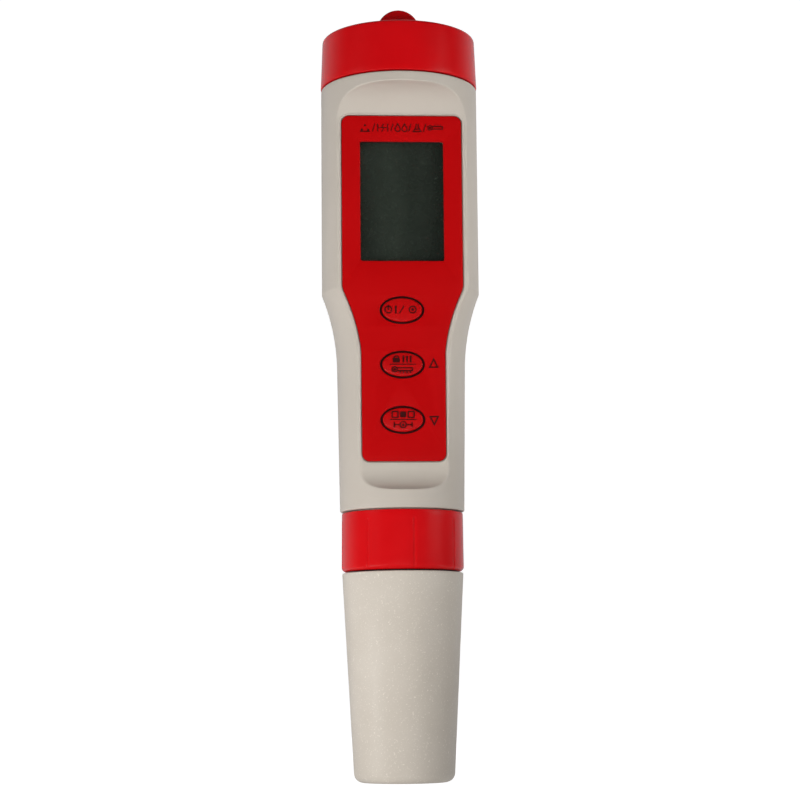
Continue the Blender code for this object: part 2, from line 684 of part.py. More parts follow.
def make_battery_pack():
    profile = [
        (0.0, HOLDER_BOTTOM_Z),
        (HOLDER_R, HOLDER_BOTTOM_Z),
        (HOLDER_R, HOLDER_TOP_Z),
        (0.0, HOLDER_TOP_Z),
    ]
    holder = turned("battery_holder", profile, WHITE)
    flat_middle = (0.0, HOLDER_FLAT_Y - FAR / 2.0, (HOLDER_BOTTOM_Z + HOLDER_TOP_Z) / 2.0)
    cut(holder, block("holder_flat_cutter", flat_middle, (FAR, FAR, FAR)))
    cell_number = 0
    for number, x in enumerate((-CELL_X, CELL_X), start=1):
        centre = (x, 0.0)
        well_ends = ((x, 0.0, WELL_FLOOR_Z), (x, 0.0, HOLDER_TOP_Z + MM))
        cut(holder, rod(f"well_cutter_{number}", *well_ends, WELL_R, None, BROAD_STEPS))
        leg_ends = ((x, 0.0, HOLDER_BOTTOM_Z - MM), (x, 0.0, WELL_FLOOR_Z + MM))
        cut(holder, rod(f"leg_hole_cutter_{number}", *leg_ends, CONTACT_LEG_HOLE_R))
        pad_low = WELL_FLOOR_Z + GAP
        pad_high = pad_low + CONTACT_PAD_THICK
        contact = [
            (0.0, CONTACT_LEG_BOTTOM_Z),
            (CONTACT_LEG_R, CONTACT_LEG_BOTTOM_Z),
            (CONTACT_LEG_R, pad_low),
            (CONTACT_PAD_R, pad_low),
            (CONTACT_PAD_R, pad_high),
            (0.0, pad_high),
        ]
        turned(f"battery_contact_{number}", contact, GOLD, SMALL_STEPS, centre)
        lead_ends = ((x, LEAD_Y, LEAD_Z[0]), (x, LEAD_Y, LEAD_Z[1]))
        rod(f"battery_lead_{number}", *lead_ends, LEAD_R, STEEL, FINE_STEPS)
        for level in range(2):
            cell_number += 1
            bottom = CELL_BOTTOM_Z + level * (CELL_H + GAP)
            top = bottom + CELL_H
            cell = [
                (0.0, bottom),
                (CELL_R, bottom),
                (CELL_R, top - 2.0 * CELL_RIM),
                (CELL_R - CELL_RIM, top - CELL_RIM),
                (CELL_CAN_R, top - CELL_RIM),
                (CELL_CAN_R, top),
                (0.0, top),
            ]
            turned(f"battery_cell_{cell_number}", cell, STEEL, MEDIUM_STEPS, centre)


def make_battery_cap():
    profile = [
        (CAP_BORE_R, CAP_CEILING_Z),
        (CAP_BORE_R, CAP_BOTTOM_Z),
        (CAP_BOTTOM_R - CAP_BOTTOM_EDGE, CAP_BOTTOM_Z),
        (CAP_BOTTOM_R, CAP_BOTTOM_Z + CAP_BOTTOM_EDGE),
    ]
    profile += arc(CAP_TOP_R - CAP_TOP_EDGE_R, CAP_TOP_Z - CAP_TOP_EDGE_R, CAP_TOP_EDGE_R, 0.0, 90.0, 4)
    profile += [
        (0.0, CAP_TOP_Z),
        (0.0, RIVET_Z - RIVET_HEAD_THICK),
        (RIVET_HEAD_R, RIVET_Z - RIVET_HEAD_THICK),
        (RIVET_HEAD_R, RIVET_Z),
        (RIVET_R, RIVET_Z),
        (RIVET_R, CAP_CEILING_Z),
    ]
    cap = turned("battery_cap", profile, CAP_RED)
    join(cap, thread_ridge(
        "cap_thread", CAP_BORE_R, CAP_CREST_R, CAP_THREAD_Z, CAP_PITCH, 0.5, CAP_THREAD_WIDTHS
    ))
    foot_z = CAP_TOP_Z - LUG_SUNK
    lug = arc(0.0, LUG_ARC_Z, LUG_ARC_R, 0.0, 180.0, 16)
    lug += [(-LUG_ARC_R, foot_z), (LUG_ARC_R, foot_z)]
    join(cap, prism("lug", lug, -LUG_THICK / 2.0, LUG_THICK / 2.0, "Y"))
    hole_ends = ((0.0, -LUG_THICK, LUG_HOLE_Z), (0.0, LUG_THICK, LUG_HOLE_Z))
    cut(cap, rod("lug_hole_cutter", *hole_ends, LUG_HOLE_R))

    gasket_low = NECK_TOP_Z + GAP
    gasket_high = CAP_CEILING_Z - GAP
    ring = rectangle_from(GASKET_INNER_R, GASKET_OUTER_R, gasket_low, gasket_high)
    gasket = turned("battery_cap_gasket", ring, RUBBER)
    plate_low = RIVET_Z + GAP
    plate_high = CAP_CEILING_Z - GAP
    disc = rectangle_from(PLATE_INNER_R, PLATE_OUTER_R, plate_low, plate_high)
    plate = turned("cap_contact_plate", disc, GOLD, BROAD_STEPS)
    finger_z = CELL_BOTTOM_Z + 2.0 * CELL_H + 2.0 * GAP
    finger_root_z = (plate_low + plate_high) / 2.0
    for number, x in enumerate((-CELL_X - MM, CELL_X + MM), start=1):
        finger = [
            (0.0, finger_z),
            (FINGER_TIP_R, finger_z),
            (FINGER_ROOT_R, finger_root_z),
            (0.0, finger_root_z),
        ]
        join(plate, turned(f"contact_finger_{number}", finger, None, SMALL_STEPS, (x, 0.0)))
    return cap, gasket, plate


def make_collar():
    round_r = COLLAR_BOTTOM_EDGE_R
    profile = [(COLLAR_LIP_R, COLLAR_LIP_TOP_Z), (COLLAR_LIP_R, COLLAR_BOTTOM_Z)]
    profile += arc(COLLAR_BOTTOM_R - round_r, COLLAR_BOTTOM_Z + round_r, round_r, -90.0, 0.0, 5)
    profile += [
        (COLLAR_TOP_R, COLLAR_TOP_Z - COLLAR_TOP_EDGE),
        (COLLAR_TOP_R - COLLAR_TOP_EDGE, COLLAR_TOP_Z),
        (COLLAR_BORE_R, COLLAR_TOP_Z),
        (COLLAR_BORE_R, COLLAR_LIP_TOP_Z),
    ]
    collar = turned("collar_ring", profile, CAP_RED)
    join(collar, thread_ridge(
        "collar_thread", COLLAR_BORE_R, COLLAR_CREST_R, COLLAR_THREAD_Z, COLLAR_PITCH, 0.5,
        COLLAR_THREAD_WIDTHS,
    ))
    bar_r = COLLAR_BOTTOM_R + GROOVE_R - GROOVE_DEPTH
    for number in range(1, GROOVE_COUNT + 1):
        angle = math.radians(GROOVE_FIRST_DEG + 360.0 * (number - 1) / GROOVE_COUNT)
        x = bar_r * math.cos(angle)
        y = bar_r * math.sin(angle)
        bar_low = (x, y, COLLAR_BOTTOM_Z - MM)
        bar_high = (x, y, GROOVE_TOP_Z)
        cut(collar, rod(f"groove_cutter_{number}", bar_low, bar_high, GROOVE_R))
    return collar


def make_probe_housing():
    groove_low, groove_high = SEAL_GROOVE_Z
    flange_low = COLLAR_LIP_TOP_Z + GAP
    flange_high = SPIGOT_BOTTOM_Z - GAP
    profile = [
        (PROBE_BORE_R, PROBE_WEB_Z),
        (PROBE_BORE_R, PROBE_BOTTOM_Z),
        (PROBE_R - PROBE_TAPER, PROBE_BOTTOM_Z),
        (PROBE_R, PROBE_TAPER_TOP_Z),
        (PROBE_R, groove_low),
        (SEAL_GROOVE_R, groove_low),
        (SEAL_GROOVE_R, groove_high),
        (PROBE_R, groove_high),
        (PROBE_R, flange_low),
        (PROBE_FLANGE_R, flange_low),
        (PROBE_FLANGE_R, flange_high),
        (PROBE_BOSS_R, flange_high),
        (PROBE_BOSS_R, PROBE_BOSS_TOP_Z),
        (WIRE_HOLE_R, PROBE_BOSS_TOP_Z),
        (WIRE_HOLE_R, PROBE_WEB_Z),
    ]
    housing = turned("probe_housing", profile, DARK)
    cap_seal = torus("cap_seal_ring", CAP_SEAL_RADII, (groove_low + groove_high) / 2.0, RUBBER)
    neck_seal = torus("neck_seal_ring", NECK_SEAL_RADII, NECK_SEAL_Z, RUBBER)
    return [housing, cap_seal, neck_seal]


def make_sensors():
    """The glass bulb in the middle, and four small sensors in a ring round it."""
    seat_low, seat_high = SEAT_Z
    seat_profile = rectangle_from(SEAT_INNER_R, PROBE_BORE_R - GAP, seat_low, seat_high)
    seat = turned("sensor_seat", seat_profile, DARK, SEAT_STEPS)
    small = (
        ("ec_pin_1", 180.0, 1.0 * MM, 15.5 * MM, 34.0 * MM, STEEL),
        ("ec_pin_2", 0.0, 1.0 * MM, 15.5 * MM, 34.0 * MM, STEEL),
        ("temperature_sensor", 90.0, 1.2 * MM, 15.0 * MM, 36.0 * MM, STEEL),
        ("reference_junction", 135.0, 0.9 * MM, 23.4 * MM, 31.0 * MM, WHITE),
    )
    pieces = [seat]
    for name, degrees, radius, low, high, finish in small:
        x = SENSOR_RADIUS * math.cos(math.radians(degrees))
        y = SENSOR_RADIUS * math.sin(math.radians(degrees))
        pieces.append(rod(name, (x, y, low), (x, y, high), radius, finish))
        hole_ends = ((x, y, seat_low - MM), (x, y, seat_high + MM))
        hole_r = radius + SENSOR_HOLE_GAP
        cut(seat, rod(f"{name}_hole_cutter", *hole_ends, hole_r, None, SENSOR_HOLE_STEPS))

    inner_stem_r = STEM_R - GLASS_THICK
    inner_bulb_r = BULB_R - GLASS_THICK
    join_deg = math.degrees(math.acos(STEM_R / BULB_R))
    inner_deg = math.degrees(math.acos(inner_stem_r / inner_bulb_r))
    profile = arc(0.0, BULB_Z, BULB_R, -90.0, join_deg, 6)
    profile += [(STEM_R, STEM_TOP_Z), (inner_stem_r, STEM_TOP_Z)]
    profile += arc(0.0, BULB_Z, inner_bulb_r, inner_deg, -90.0, 5)
    pieces.append(turned("glass_bulb", profile, CLEAR, MEDIUM_STEPS))
    wire_ends = ((0.0, 0.0, WIRE_Z[0]), (0.0, 0.0, WIRE_Z[1]))
    pieces.append(rod("reference_wire", *wire_ends, WIRE_R, STEEL, FINE_STEPS))
    return pieces


def make_guard():
    high = PROBE_BOTTOM_Z - GAP
    profile = [
        (PROBE_BORE_R, high),
        (PROBE_BORE_R, GUARD_BOTTOM_Z),
        (GUARD_BOTTOM_R, GUARD_BOTTOM_Z),
        (GUARD_TOP_R, high),
    ]
    guard = turned("probe_guard", profile, DARK)
    slot_middle = (0.0, GUARD_TOP_R, GUARD_BOTTOM_Z)
    slot_size = (GUARD_SLOT_W, GUARD_TOP_R * 0.7, 2.0 * GUARD_SLOT_H)
    for number in range(4):
        slot = block(f"guard_slot_cutter_{number + 1}", slot_middle, slot_size)
        slot.rotation_euler = (0.0, 0.0, math.radians(45.0 + 90.0 * number))
        cut(guard, slot)
    return guard


def make_probe_plug():
    plug_low, plug_high = PLUG_Z
    plug = turned("probe_plug", rectangle_from(0.0, PLUG_R, plug_low, plug_high), GOLD, BROAD_STEPS)
    socket_low, rim_low, socket_high = SOCKET_Z
    socket_profile = [
        (0.0, socket_low),
        (SOCKET_R, socket_low),
        (SOCKET_R, rim_low),
        (SOCKET_RIM_R, rim_low),
        (SOCKET_RIM_R, socket_high),
        (0.0, socket_high),
    ]
    socket = turned("probe_socket", socket_profile, DARK, BROAD_STEPS)
    for number in range(PIN_COUNT):
        angle = 2.0 * math.pi * number / PIN_COUNT
        x = PIN_CIRCLE_R * math.cos(angle)
        y = PIN_CIRCLE_R * math.sin(angle)
        pin_ends = ((x, y, plug_high - PIN_R), (x, y, PIN_TOP_Z))
        join(plug, rod(f"plug_pin_{number + 1}", *pin_ends, PIN_R, None, FINE_STEPS))
        hole_ends = ((x, y, socket_low - MM), (x, y, PIN_HOLE_TOP_Z))
        cut(socket, rod(f"socket_hole_cutter_{number + 1}", *hole_ends, PIN_HOLE_R, None, FINE_STEPS))
    return plug


def make_ribbon():
    """A flat cable that bends from the socket up to the circuit board."""
    socket_y = 1.0 * MM
    board_y = BOARD_FRONT_Y + BOARD_THICK / 2.0
    low = SOCKET_Z[2] + 0.4 * MM
    high = BOARD_BOTTOM_Z - 0.4 * MM
    bend = 2.5 * MM
    route = [(socket_y, low), (socket_y, low + bend), (board_y, high - bend), (board_y, high)]
    front = [(y - RIBBON_HALF_THICK, z) for y, z in route]
    back = [(y + RIBBON_HALF_THICK, z) for y, z in reversed(route)]
    prism("probe_ribbon", front + back, -RIBBON_HALF_W, RIBBON_HALF_W, "X", WHITE, False)


def make_protective_cap():
    inner_bottom_r = SLEEVE_BOTTOM_R - SLEEVE_WALL + 0.1 * MM
    inner_top_r = SLEEVE_TOP_R - SLEEVE_WALL
    profile = [(0.0, 0.0)]
    profile += arc(SLEEVE_BOTTOM_R - SLEEVE_EDGE_R, SLEEVE_EDGE_R, SLEEVE_EDGE_R, -90.0, 0.0, 5)
    profile += [
        (SLEEVE_TOP_R, SLEEVE_TOP_Z - SLEEVE_LIP),
        (SLEEVE_TOP_R - SLEEVE_LIP, SLEEVE_TOP_Z),
        (inner_top_r, SLEEVE_TOP_Z),
        (inner_bottom_r, SLEEVE_FLOOR),
        (0.0, SLEEVE_FLOOR),
    ]
    sleeve = turned("protective_cap", profile, BEIGE)
    sponge_profile = rectangle_from(0.0, SPONGE_R, SLEEVE_FLOOR + GAP, SPONGE_TOP_Z)
    sponge = turned("storage_sponge", sponge_profile, FOAM, BROAD_STEPS)
    return sleeve, sponge


def add_joint_empty(name, location, parent=None):
    """An empty on a joint's axis; pieces of that body hang from it."""
    empty = bpy.data.objects.new(name, None)
    empty.empty_display_size = 5.0 * MM
    bpy.context.scene.collection.objects.link(empty)
    empty.location = Vector(location)
    if parent is not None:
        empty.location -= parent.location
        empty.parent = parent
    return empty


def hang(empty, world_place, pieces):
    """Parent pieces to the empty, moving each mesh so that its origin is the empty's."""
    for piece in pieces:
        piece.data.transform(Matrix.Translation(-Vector(world_place)))
        piece.parent = empty


def assemble():
    clear_scene()
    make_barrel()
    make_panel()
    make_display()
    make_board()
    make_battery_pack()
    make_ribbon()

    for number, height in enumerate(BUTTON_Z, start=1):
        place = (BUTTON_X, PANEL_FRONT_Y, height)
        axis = add_joint_empty(f"button_{number}_slide", place)
        hang(axis, place, make_button(number, height))

    lift_place = (0.0, 0.0, NECK_TOP_Z)
    lift = add_joint_empty("cap_lift_slide", lift_place)
    turn = add_joint_empty("battery_cap_turn", lift_place, lift)
    cap, gasket, plate = make_battery_cap()
    hang(lift, lift_place, (gasket, plate))
    hang(turn, lift_place, (cap,))

    probe_place = (0.0, 0.0, SPIGOT_BOTTOM_Z)
    slide = add_joint_empty("probe_slide", probe_place)
    collar_turn = add_joint_empty("collar_turn", probe_place, slide)
    cap_pull = add_joint_empty("protective_cap_pull", probe_place, slide)
    hang(slide, probe_place, make_probe_housing() + make_sensors() + [make_guard(), make_probe_plug()])
    hang(collar_turn, probe_place, (make_collar(),))
    hang(cap_pull, probe_place, make_protective_cap())


assemble()
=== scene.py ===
import math

import bmesh
import bpy
import numpy as np
from mathutils import Matrix, Vector


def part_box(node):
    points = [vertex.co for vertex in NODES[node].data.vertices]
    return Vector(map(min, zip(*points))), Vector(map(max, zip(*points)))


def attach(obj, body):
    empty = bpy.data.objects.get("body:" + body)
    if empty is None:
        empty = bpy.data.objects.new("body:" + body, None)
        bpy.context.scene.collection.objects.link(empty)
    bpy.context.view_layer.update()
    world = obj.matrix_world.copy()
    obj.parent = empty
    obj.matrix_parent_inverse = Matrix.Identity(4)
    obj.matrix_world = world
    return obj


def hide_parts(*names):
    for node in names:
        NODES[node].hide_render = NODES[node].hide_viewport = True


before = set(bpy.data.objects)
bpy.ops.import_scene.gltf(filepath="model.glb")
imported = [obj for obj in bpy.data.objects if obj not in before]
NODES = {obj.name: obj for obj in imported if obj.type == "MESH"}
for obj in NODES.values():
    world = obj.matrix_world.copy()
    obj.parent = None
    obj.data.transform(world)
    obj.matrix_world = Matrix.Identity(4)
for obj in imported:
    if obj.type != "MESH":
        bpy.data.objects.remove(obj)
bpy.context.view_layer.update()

MM = 0.001

# Camera, on the pen's left a little, low and tilted up
CAMERA_DISTANCE = 506.6 * MM
CAMERA_HEIGHT = 22.3 * MM
CAMERA_AZIMUTH = -3.3
CAMERA_TILT = 7.71
CAMERA_ROLL = -0.512
CAMERA_LENS = 95.3
CAMERA_SHIFT = -0.0016

# Barrel, in the pen's own frame
BARREL_BOTTOM_Z = 63.7 * MM
BARREL_BOTTOM_R = 14.9 * MM
FLARE_START_Z = 97.5 * MM
FLARE_START_R = 15.45 * MM
FLARE_ARC_R = 51.4 * MM
SHOULDER_Z = 116.4 * MM
HEAD_R = 19.05 * MM
HEAD_TOP_Z = 167.3 * MM
WALL = 1.8 * MM
NECK_TOP_Z = 177.0 * MM
NECK_R = 15.9 * MM
NECK_BORE_R = 14.2 * MM
SPIGOT_BOTTOM_Z = 54.3 * MM
SPIGOT_R = 12.6 * MM
SPIGOT_BORE_R = 10.6 * MM
TUBE_EDGE_R = 0.35 * MM
FACE_Y = -10.85 * MM
TOP_FILLET_R = 8.2 * MM
TOP_FILLET_Z = 156.7 * MM
SCOOP_R = 5.0 * MM
SCOOP_Z = 72.9 * MM
RIM_ROUND = 0.28 * MM
POCKET_DEPTH = 1.1 * MM
POCKET_GAP = 0.22 * MM
FLAT_WALL_BACK_Y = -8.35 * MM
FOOT_ROUND = 0.45 * MM
HEAD_ROUND = 0.4 * MM

# Panel, window and keys
PANEL_FRONT_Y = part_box("front_panel")[0].y
PANEL_BACK_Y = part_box("front_panel")[1].y
PANEL_BOTTOM_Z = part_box("front_panel")[0].z
PANEL_TOP_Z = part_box("front_panel")[1].z
PANEL_HIGH_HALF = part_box("front_panel")[1].x
PANEL_LOW_HALF = 9.9 * MM
PANEL_CORNER_R = 1.8 * MM
PANEL_MARGIN = 1.2 * MM
WINDOW_W = 20.0 * MM
WINDOW_H = 29.2 * MM
WINDOW_Z = 137.5 * MM
KEY_X = -0.25 * MM
KEY_Z = (111.0 * MM, 97.9 * MM, 84.7 * MM)
KEY_W = 9.6 * MM
KEY_H = 5.7 * MM
KEY_HOLE_W = 10.65 * MM
KEY_HOLE_H = 6.7 * MM
KEY_FRONT_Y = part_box("button_key_1")[0].y
KEY_BACK_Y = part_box("button_key_1")[1].y

# Cap, collar and sleeve
CAP_BOTTOM_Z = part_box("battery_cap")[0].z
CAP_TOP_Z = 180.0 * MM
CAP_BOTTOM_R = 19.15 * MM
CAP_TOP_R = 18.7 * MM
CAP_BORE_R = 16.9 * MM
CAP_CEILING_Z = 178.3 * MM
CAP_EDGE_R = 0.8 * MM
CAP_MOUTH_R = 0.25 * MM
CAP_PITCH = 3.0 * MM
RIVET_LOW_Z = 176.2 * MM
RIVET_HIGH_Z = 177.0 * MM
RIVET_R = 3.6 * MM
RIVET_STEM_R = 2.5 * MM
LUG_ARC_R = 5.2 * MM
LUG_ARC_Z = 182.6 * MM
LUG_THICK = 3.5 * MM
LUG_HOLE_R = 2.0 * MM
LUG_HOLE_Z = 183.4 * MM
LUG_EDGE_R = 0.5 * MM
LUG_FOOT_Z = 179.2 * MM
COLLAR_BOTTOM_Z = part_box("collar_ring")[0].z
COLLAR_TOP_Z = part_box("collar_ring")[1].z
COLLAR_BOTTOM_R = 14.6 * MM
COLLAR_TOP_R = 14.5 * MM
COLLAR_PITCH = 2.5 * MM
COLLAR_BORE_R = 13.5 * MM
COLLAR_LIP_R = 12.2 * MM
COLLAR_LIP_Z = 51.6 * MM
COLLAR_FOOT_R = 1.1 * MM
COLLAR_HEAD_R = 0.3 * MM
GROOVE_COUNT = 8
GROOVE_FIRST_DEG = -82.0
GROOVE_HALF_W = 0.40 * MM
GROOVE_DEPTH = 0.16 * MM
GROOVE_BAND = 0.6 * MM
GROOVE_TOP_Z = 61.5 * MM
SLEEVE_TOP_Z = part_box("protective_cap")[1].z
SLEEVE_TOP_R = 14.45 * MM
SLEEVE_BOTTOM_R = 11.95 * MM
SLEEVE_WALL = 1.4 * MM
SLEEVE_FLOOR = 2.0 * MM
SLEEVE_EDGE_R = 2.2 * MM

# Floor: how bright it looks, and how much light it throws up
FLOOR_GLOW = 0.96
FLOOR_LIGHT = 0.38

# Thread ridges: width at the root and at the crest
CAP_RIDGE = (1.4 * MM, 0.8 * MM)
COLLAR_RIDGE = (1.2 * MM, 0.7 * MM)

ROUND_STEPS = 144
SHARP_DEG = 38.0


# ---------- mesh helpers

def finish_mesh(name, shape, sharp_deg=SHARP_DEG):
    """Close off a bmesh as a smooth-shaded object with its faces pointing out."""
    bmesh.ops.recalc_face_normals(shape, faces=shape.faces)
    if shape.calc_volume(signed=True) < 0.0:
        bmesh.ops.reverse_faces(shape, faces=shape.faces)
    mesh = bpy.data.meshes.new(name)
    shape.to_mesh(mesh)
    shape.free()
    mesh.shade_smooth()
    mesh.set_sharp_from_angle(angle=math.radians(sharp_deg))
    item = bpy.data.objects.new(name, mesh)
    bpy.context.scene.collection.objects.link(item)
    return item


def arc(centre_u, centre_v, radius, start_deg, end_deg, steps):
    points = []
    for step in range(steps + 1):
        angle = math.radians(start_deg + (end_deg - start_deg) * step / steps)
        points.append((centre_u + radius * math.cos(angle), centre_v + radius * math.sin(angle)))
    return points


def around(radius, angle, height):
    """A point at a radius and angle from the pen's middle line."""
    return (radius * math.cos(angle), radius * math.sin(angle), height)


def softened(corners, steps=5):
    """Round each (u, v, radius) corner of a closed outline with a tangent arc."""
    points = []
    for index, (u, v, radius) in enumerate(corners):
        here = Vector((u, v))
        if radius == 0.0:
            points.append((u, v))
            continue
        before = (Vector(corners[index - 1][:2]) - here).normalized()
        after = (Vector(corners[(index + 1) % len(corners)][:2]) - here).normalized()
        half = before.angle(after) / 2.0
        start = here + before * (radius / math.tan(half))
        end = here + after * (radius / math.tan(half))
        centre = here + (before + after).normalized() * (radius / math.sin(half))
        sweep = (start - centre).angle_signed(end - centre)
        for step in range(steps + 1):
            arm = (start - centre).copy()
            arm.rotate(Matrix.Rotation(-sweep * step / steps, 2))
            points.append(tuple(centre + arm))
    return points


def turned(name, profile, steps=ROUND_STEPS):
    """Revolve a closed (radius, z) outline about the pen's middle line."""
    shape = bmesh.new()
    rings = []
    for radius, height in profile:
        if radius < 1e-7:
            rings.append([shape.verts.new((0.0, 0.0, height))] * steps)
            continue
        angles = [2.0 * math.pi * step / steps for step in range(steps)]
        rings.append([shape.verts.new(around(radius, angle, height)) for angle in angles])
    for index, low in enumerate(rings):
        high = rings[(index + 1) % len(rings)]
        for step in range(steps):
            after = (step + 1) % steps
            corners = []
            for vertex in (low[step], low[after], high[after], high[step]):
                if vertex not in corners:
                    corners.append(vertex)
            if len(corners) > 2:
                shape.faces.new(corners)
    return finish_mesh(name, shape)


def stacked(name, rings, closed=True):
    """Join rings of equal length, one after another; closed caps both ends."""
    shape = bmesh.new()
    made = [[shape.verts.new(point) for point in ring] for ring in rings]
    count = len(rings[0])
    for low, high in zip(made, made[1:]):
        for index in range(count):
            after = (index + 1) % count
            shape.faces.new((low[index], low[after], high[after], high[index]))
    if closed:
        shape.faces.new(list(reversed(made[0])))
        shape.faces.new(made[-1])
    else:
        for index in range(count):
            after = (index + 1) % count
            shape.faces.new((made[-1][index], made[-1][after], made[0][after], made[0][index]))
    return finish_mesh(name, shape)


def ellipse(centre_u, centre_v, width, height, steps=72):
    points = []
    for step in range(steps):
        angle = 2.0 * math.pi * step / steps
        u = centre_u + width / 2.0 * math.cos(angle)
        v = centre_v + height / 2.0 * math.sin(angle)
        points.append((u, v))
    return points


def rectangle(centre_u, centre_v, width, height, radius=0.0):
    half_w = width / 2.0
    half_h = height / 2.0
    corners = ((-half_w, -half_h), (half_w, -half_h), (half_w, half_h), (-half_w, half_h))
    return [(centre_u + u, centre_v + v, radius) for u, v in corners]


def front_plate(name, loops, front_y, thickness, edge):
    """A flat plate facing -Y from one outline and its holes, with rounded edges."""
    curve = bpy.data.curves.new(name, "CURVE")
    curve.dimensions = "2D"
    curve.fill_mode = "BOTH"
    curve.extrude = thickness / 2.0 - edge
    curve.bevel_depth = edge
    curve.bevel_resolution = 2
    curve.offset = -edge
    for loop in loops:
        spline = curve.splines.new("POLY")
        spline.points.add(len(loop) - 1)
        spline.use_cyclic_u = True
        for point, (x, z) in zip(spline.points, loop):
            point.co = (x, z, 0.0, 1.0)
    source = bpy.data.objects.new(name + "_curve", curve)
    bpy.context.scene.collection.objects.link(source)
    bpy.context.view_layer.update()
    graph = bpy.context.evaluated_depsgraph_get()
    mesh = bpy.data.meshes.new_from_object(source.evaluated_get(graph))
    bpy.data.objects.remove(source)
    shape = bmesh.new()
    shape.from_mesh(mesh)
    bmesh.ops.remove_doubles(shape, verts=shape.verts, dist=1e-6)
    middle = Matrix.Translation((0.0, front_y + thickness / 2.0, 0.0))
    shape.transform(middle @ Matrix.Rotation(math.radians(90.0), 4, "X"))
    return finish_mesh(name, shape, 50.0)


def prism(name, outline, low, high, axis="Y"):
    """Extrude a closed outline along X or Y."""
    order = {"X": lambda u, v, level: (level, u, v), "Y": lambda u, v, level: (u, level, v)}[axis]
    rings = [[order(u, v, level) for u, v in outline] for level in (low, high)]
    return stacked(name, rings)


def solidify_booleans(target, tools):
    """Apply (operation, tool) pairs to the target for good, and remove the tools."""
    for operation, tool in tools:
        modifier = target.modifiers.new(tool.name, "BOOLEAN")
        modifier.operation = operation
        modifier.object = tool
        modifier.solver = "EXACT"
    bpy.context.view_layer.update()
    graph = bpy.context.evaluated_depsgraph_get()
    mesh = bpy.data.meshes.new_from_object(target.evaluated_get(graph))
    target.modifiers.clear()
    target.data = mesh
    mesh.shade_smooth()
    mesh.set_sharp_from_angle(angle=math.radians(SHARP_DEG))
    for _, tool in tools:
        bpy.data.objects.remove(tool)


def thread_ridge(name, core_r, crest_r, start_z, end_z, pitch, phase, widths):
    """A right-hand helical ridge with rounded flanks, sunk into its core."""
    outward = 1.0 if crest_r > core_r else -1.0
    root_width, crest_width = widths
    sunk_r = core_r - outward * 0.35 * MM
    hidden_r = core_r - outward * 0.15 * MM
    steps = 96
    count = int((end_z - start_z) / pitch * steps)
    fade = steps // 8
    rings = []
    for index in range(count + 1):
        angle = 2.0 * math.pi * index / steps
        height = start_z + phase * pitch + pitch * index / steps
        rise = min(1.0, index / fade, (count - index) / fade)
        top_r = hidden_r + (crest_r - hidden_r) * rise
        shy_r = hidden_r + (top_r - hidden_r) * 0.8
        ring = []
        for radius, offset in (
            (sunk_r, -root_width / 2.0),
            (shy_r, -crest_width / 2.0 - 0.06 * MM),
            (top_r, -crest_width / 2.0 + 0.10 * MM),
            (top_r, crest_width / 2.0 - 0.10 * MM),
            (shy_r, crest_width / 2.0 + 0.06 * MM),
            (sunk_r, root_width / 2.0),
        ):
            ring.append(around(radius, angle, height + offset))
        rings.append(ring)
    return stacked(name, rings)


# ---------- materials

def new_material(name):
    material = bpy.data.materials.new(name)
    material.use_nodes = True
    tree = material.node_tree
    return material, tree, tree.nodes["Principled BSDF"]


def add_noise(tree, scale, detail=3.0, roughness=0.55, stretch=None):
    """Noise in the object's own coordinates, in features per metre."""
    place = tree.nodes.new("ShaderNodeTexCoord")
    noise = tree.nodes.new("ShaderNodeTexNoise")
    noise.inputs["Scale"].default_value = scale
    noise.inputs["Detail"].default_value = detail
    noise.inputs["Roughness"].default_value = roughness
    if stretch is None:
        tree.links.new(place.outputs["Object"], noise.inputs["Vector"])
        return noise.outputs["Fac"]
    squeeze = tree.nodes.new("ShaderNodeMapping")
    squeeze.inputs["Scale"].default_value = stretch
    tree.links.new(place.outputs["Object"], squeeze.inputs["Vector"])
    tree.links.new(squeeze.outputs["Vector"], noise.inputs["Vector"])
    return noise.outputs["Fac"]


def blend_colours(tree, factor, low, high, start=0.3, end=0.7):
    ramp = tree.nodes.new("ShaderNodeValToRGB")
    ramp.color_ramp.elements[0].position = start
    ramp.color_ramp.elements[0].color = (*low, 1.0)
    ramp.color_ramp.elements[1].position = end
    ramp.color_ramp.elements[1].color = (*high, 1.0)
    tree.links.new(factor, ramp.inputs["Fac"])
    return ramp.outputs["Color"]


def combine_values(tree, operation, first, second, third):
    """One arithmetic step on two node outputs and a number."""
    step = tree.nodes.new("ShaderNodeMath")
    step.operation = operation
    tree.links.new(first, step.inputs[0])
    step.inputs[1].default_value = second
    tree.links.new(third, step.inputs[2])
    return step.outputs["Value"]


def add_bump(tree, shader, height, strength, distance):
    bump = tree.nodes.new("ShaderNodeBump")
    bump.inputs["Strength"].default_value = strength
    bump.inputs["Distance"].default_value = distance
    tree.links.new(height, bump.inputs["Height"])
    tree.links.new(bump.outputs["Normal"], shader.inputs["Normal"])


def vary_roughness(tree, shader, factor, low, high):
    spread = tree.nodes.new("ShaderNodeMapRange")
    spread.inputs["To Min"].default_value = low
    spread.inputs["To Max"].default_value = high
    tree.links.new(factor, spread.inputs["Value"])
    tree.links.new(spread.outputs["Result"], shader.inputs["Roughness"])


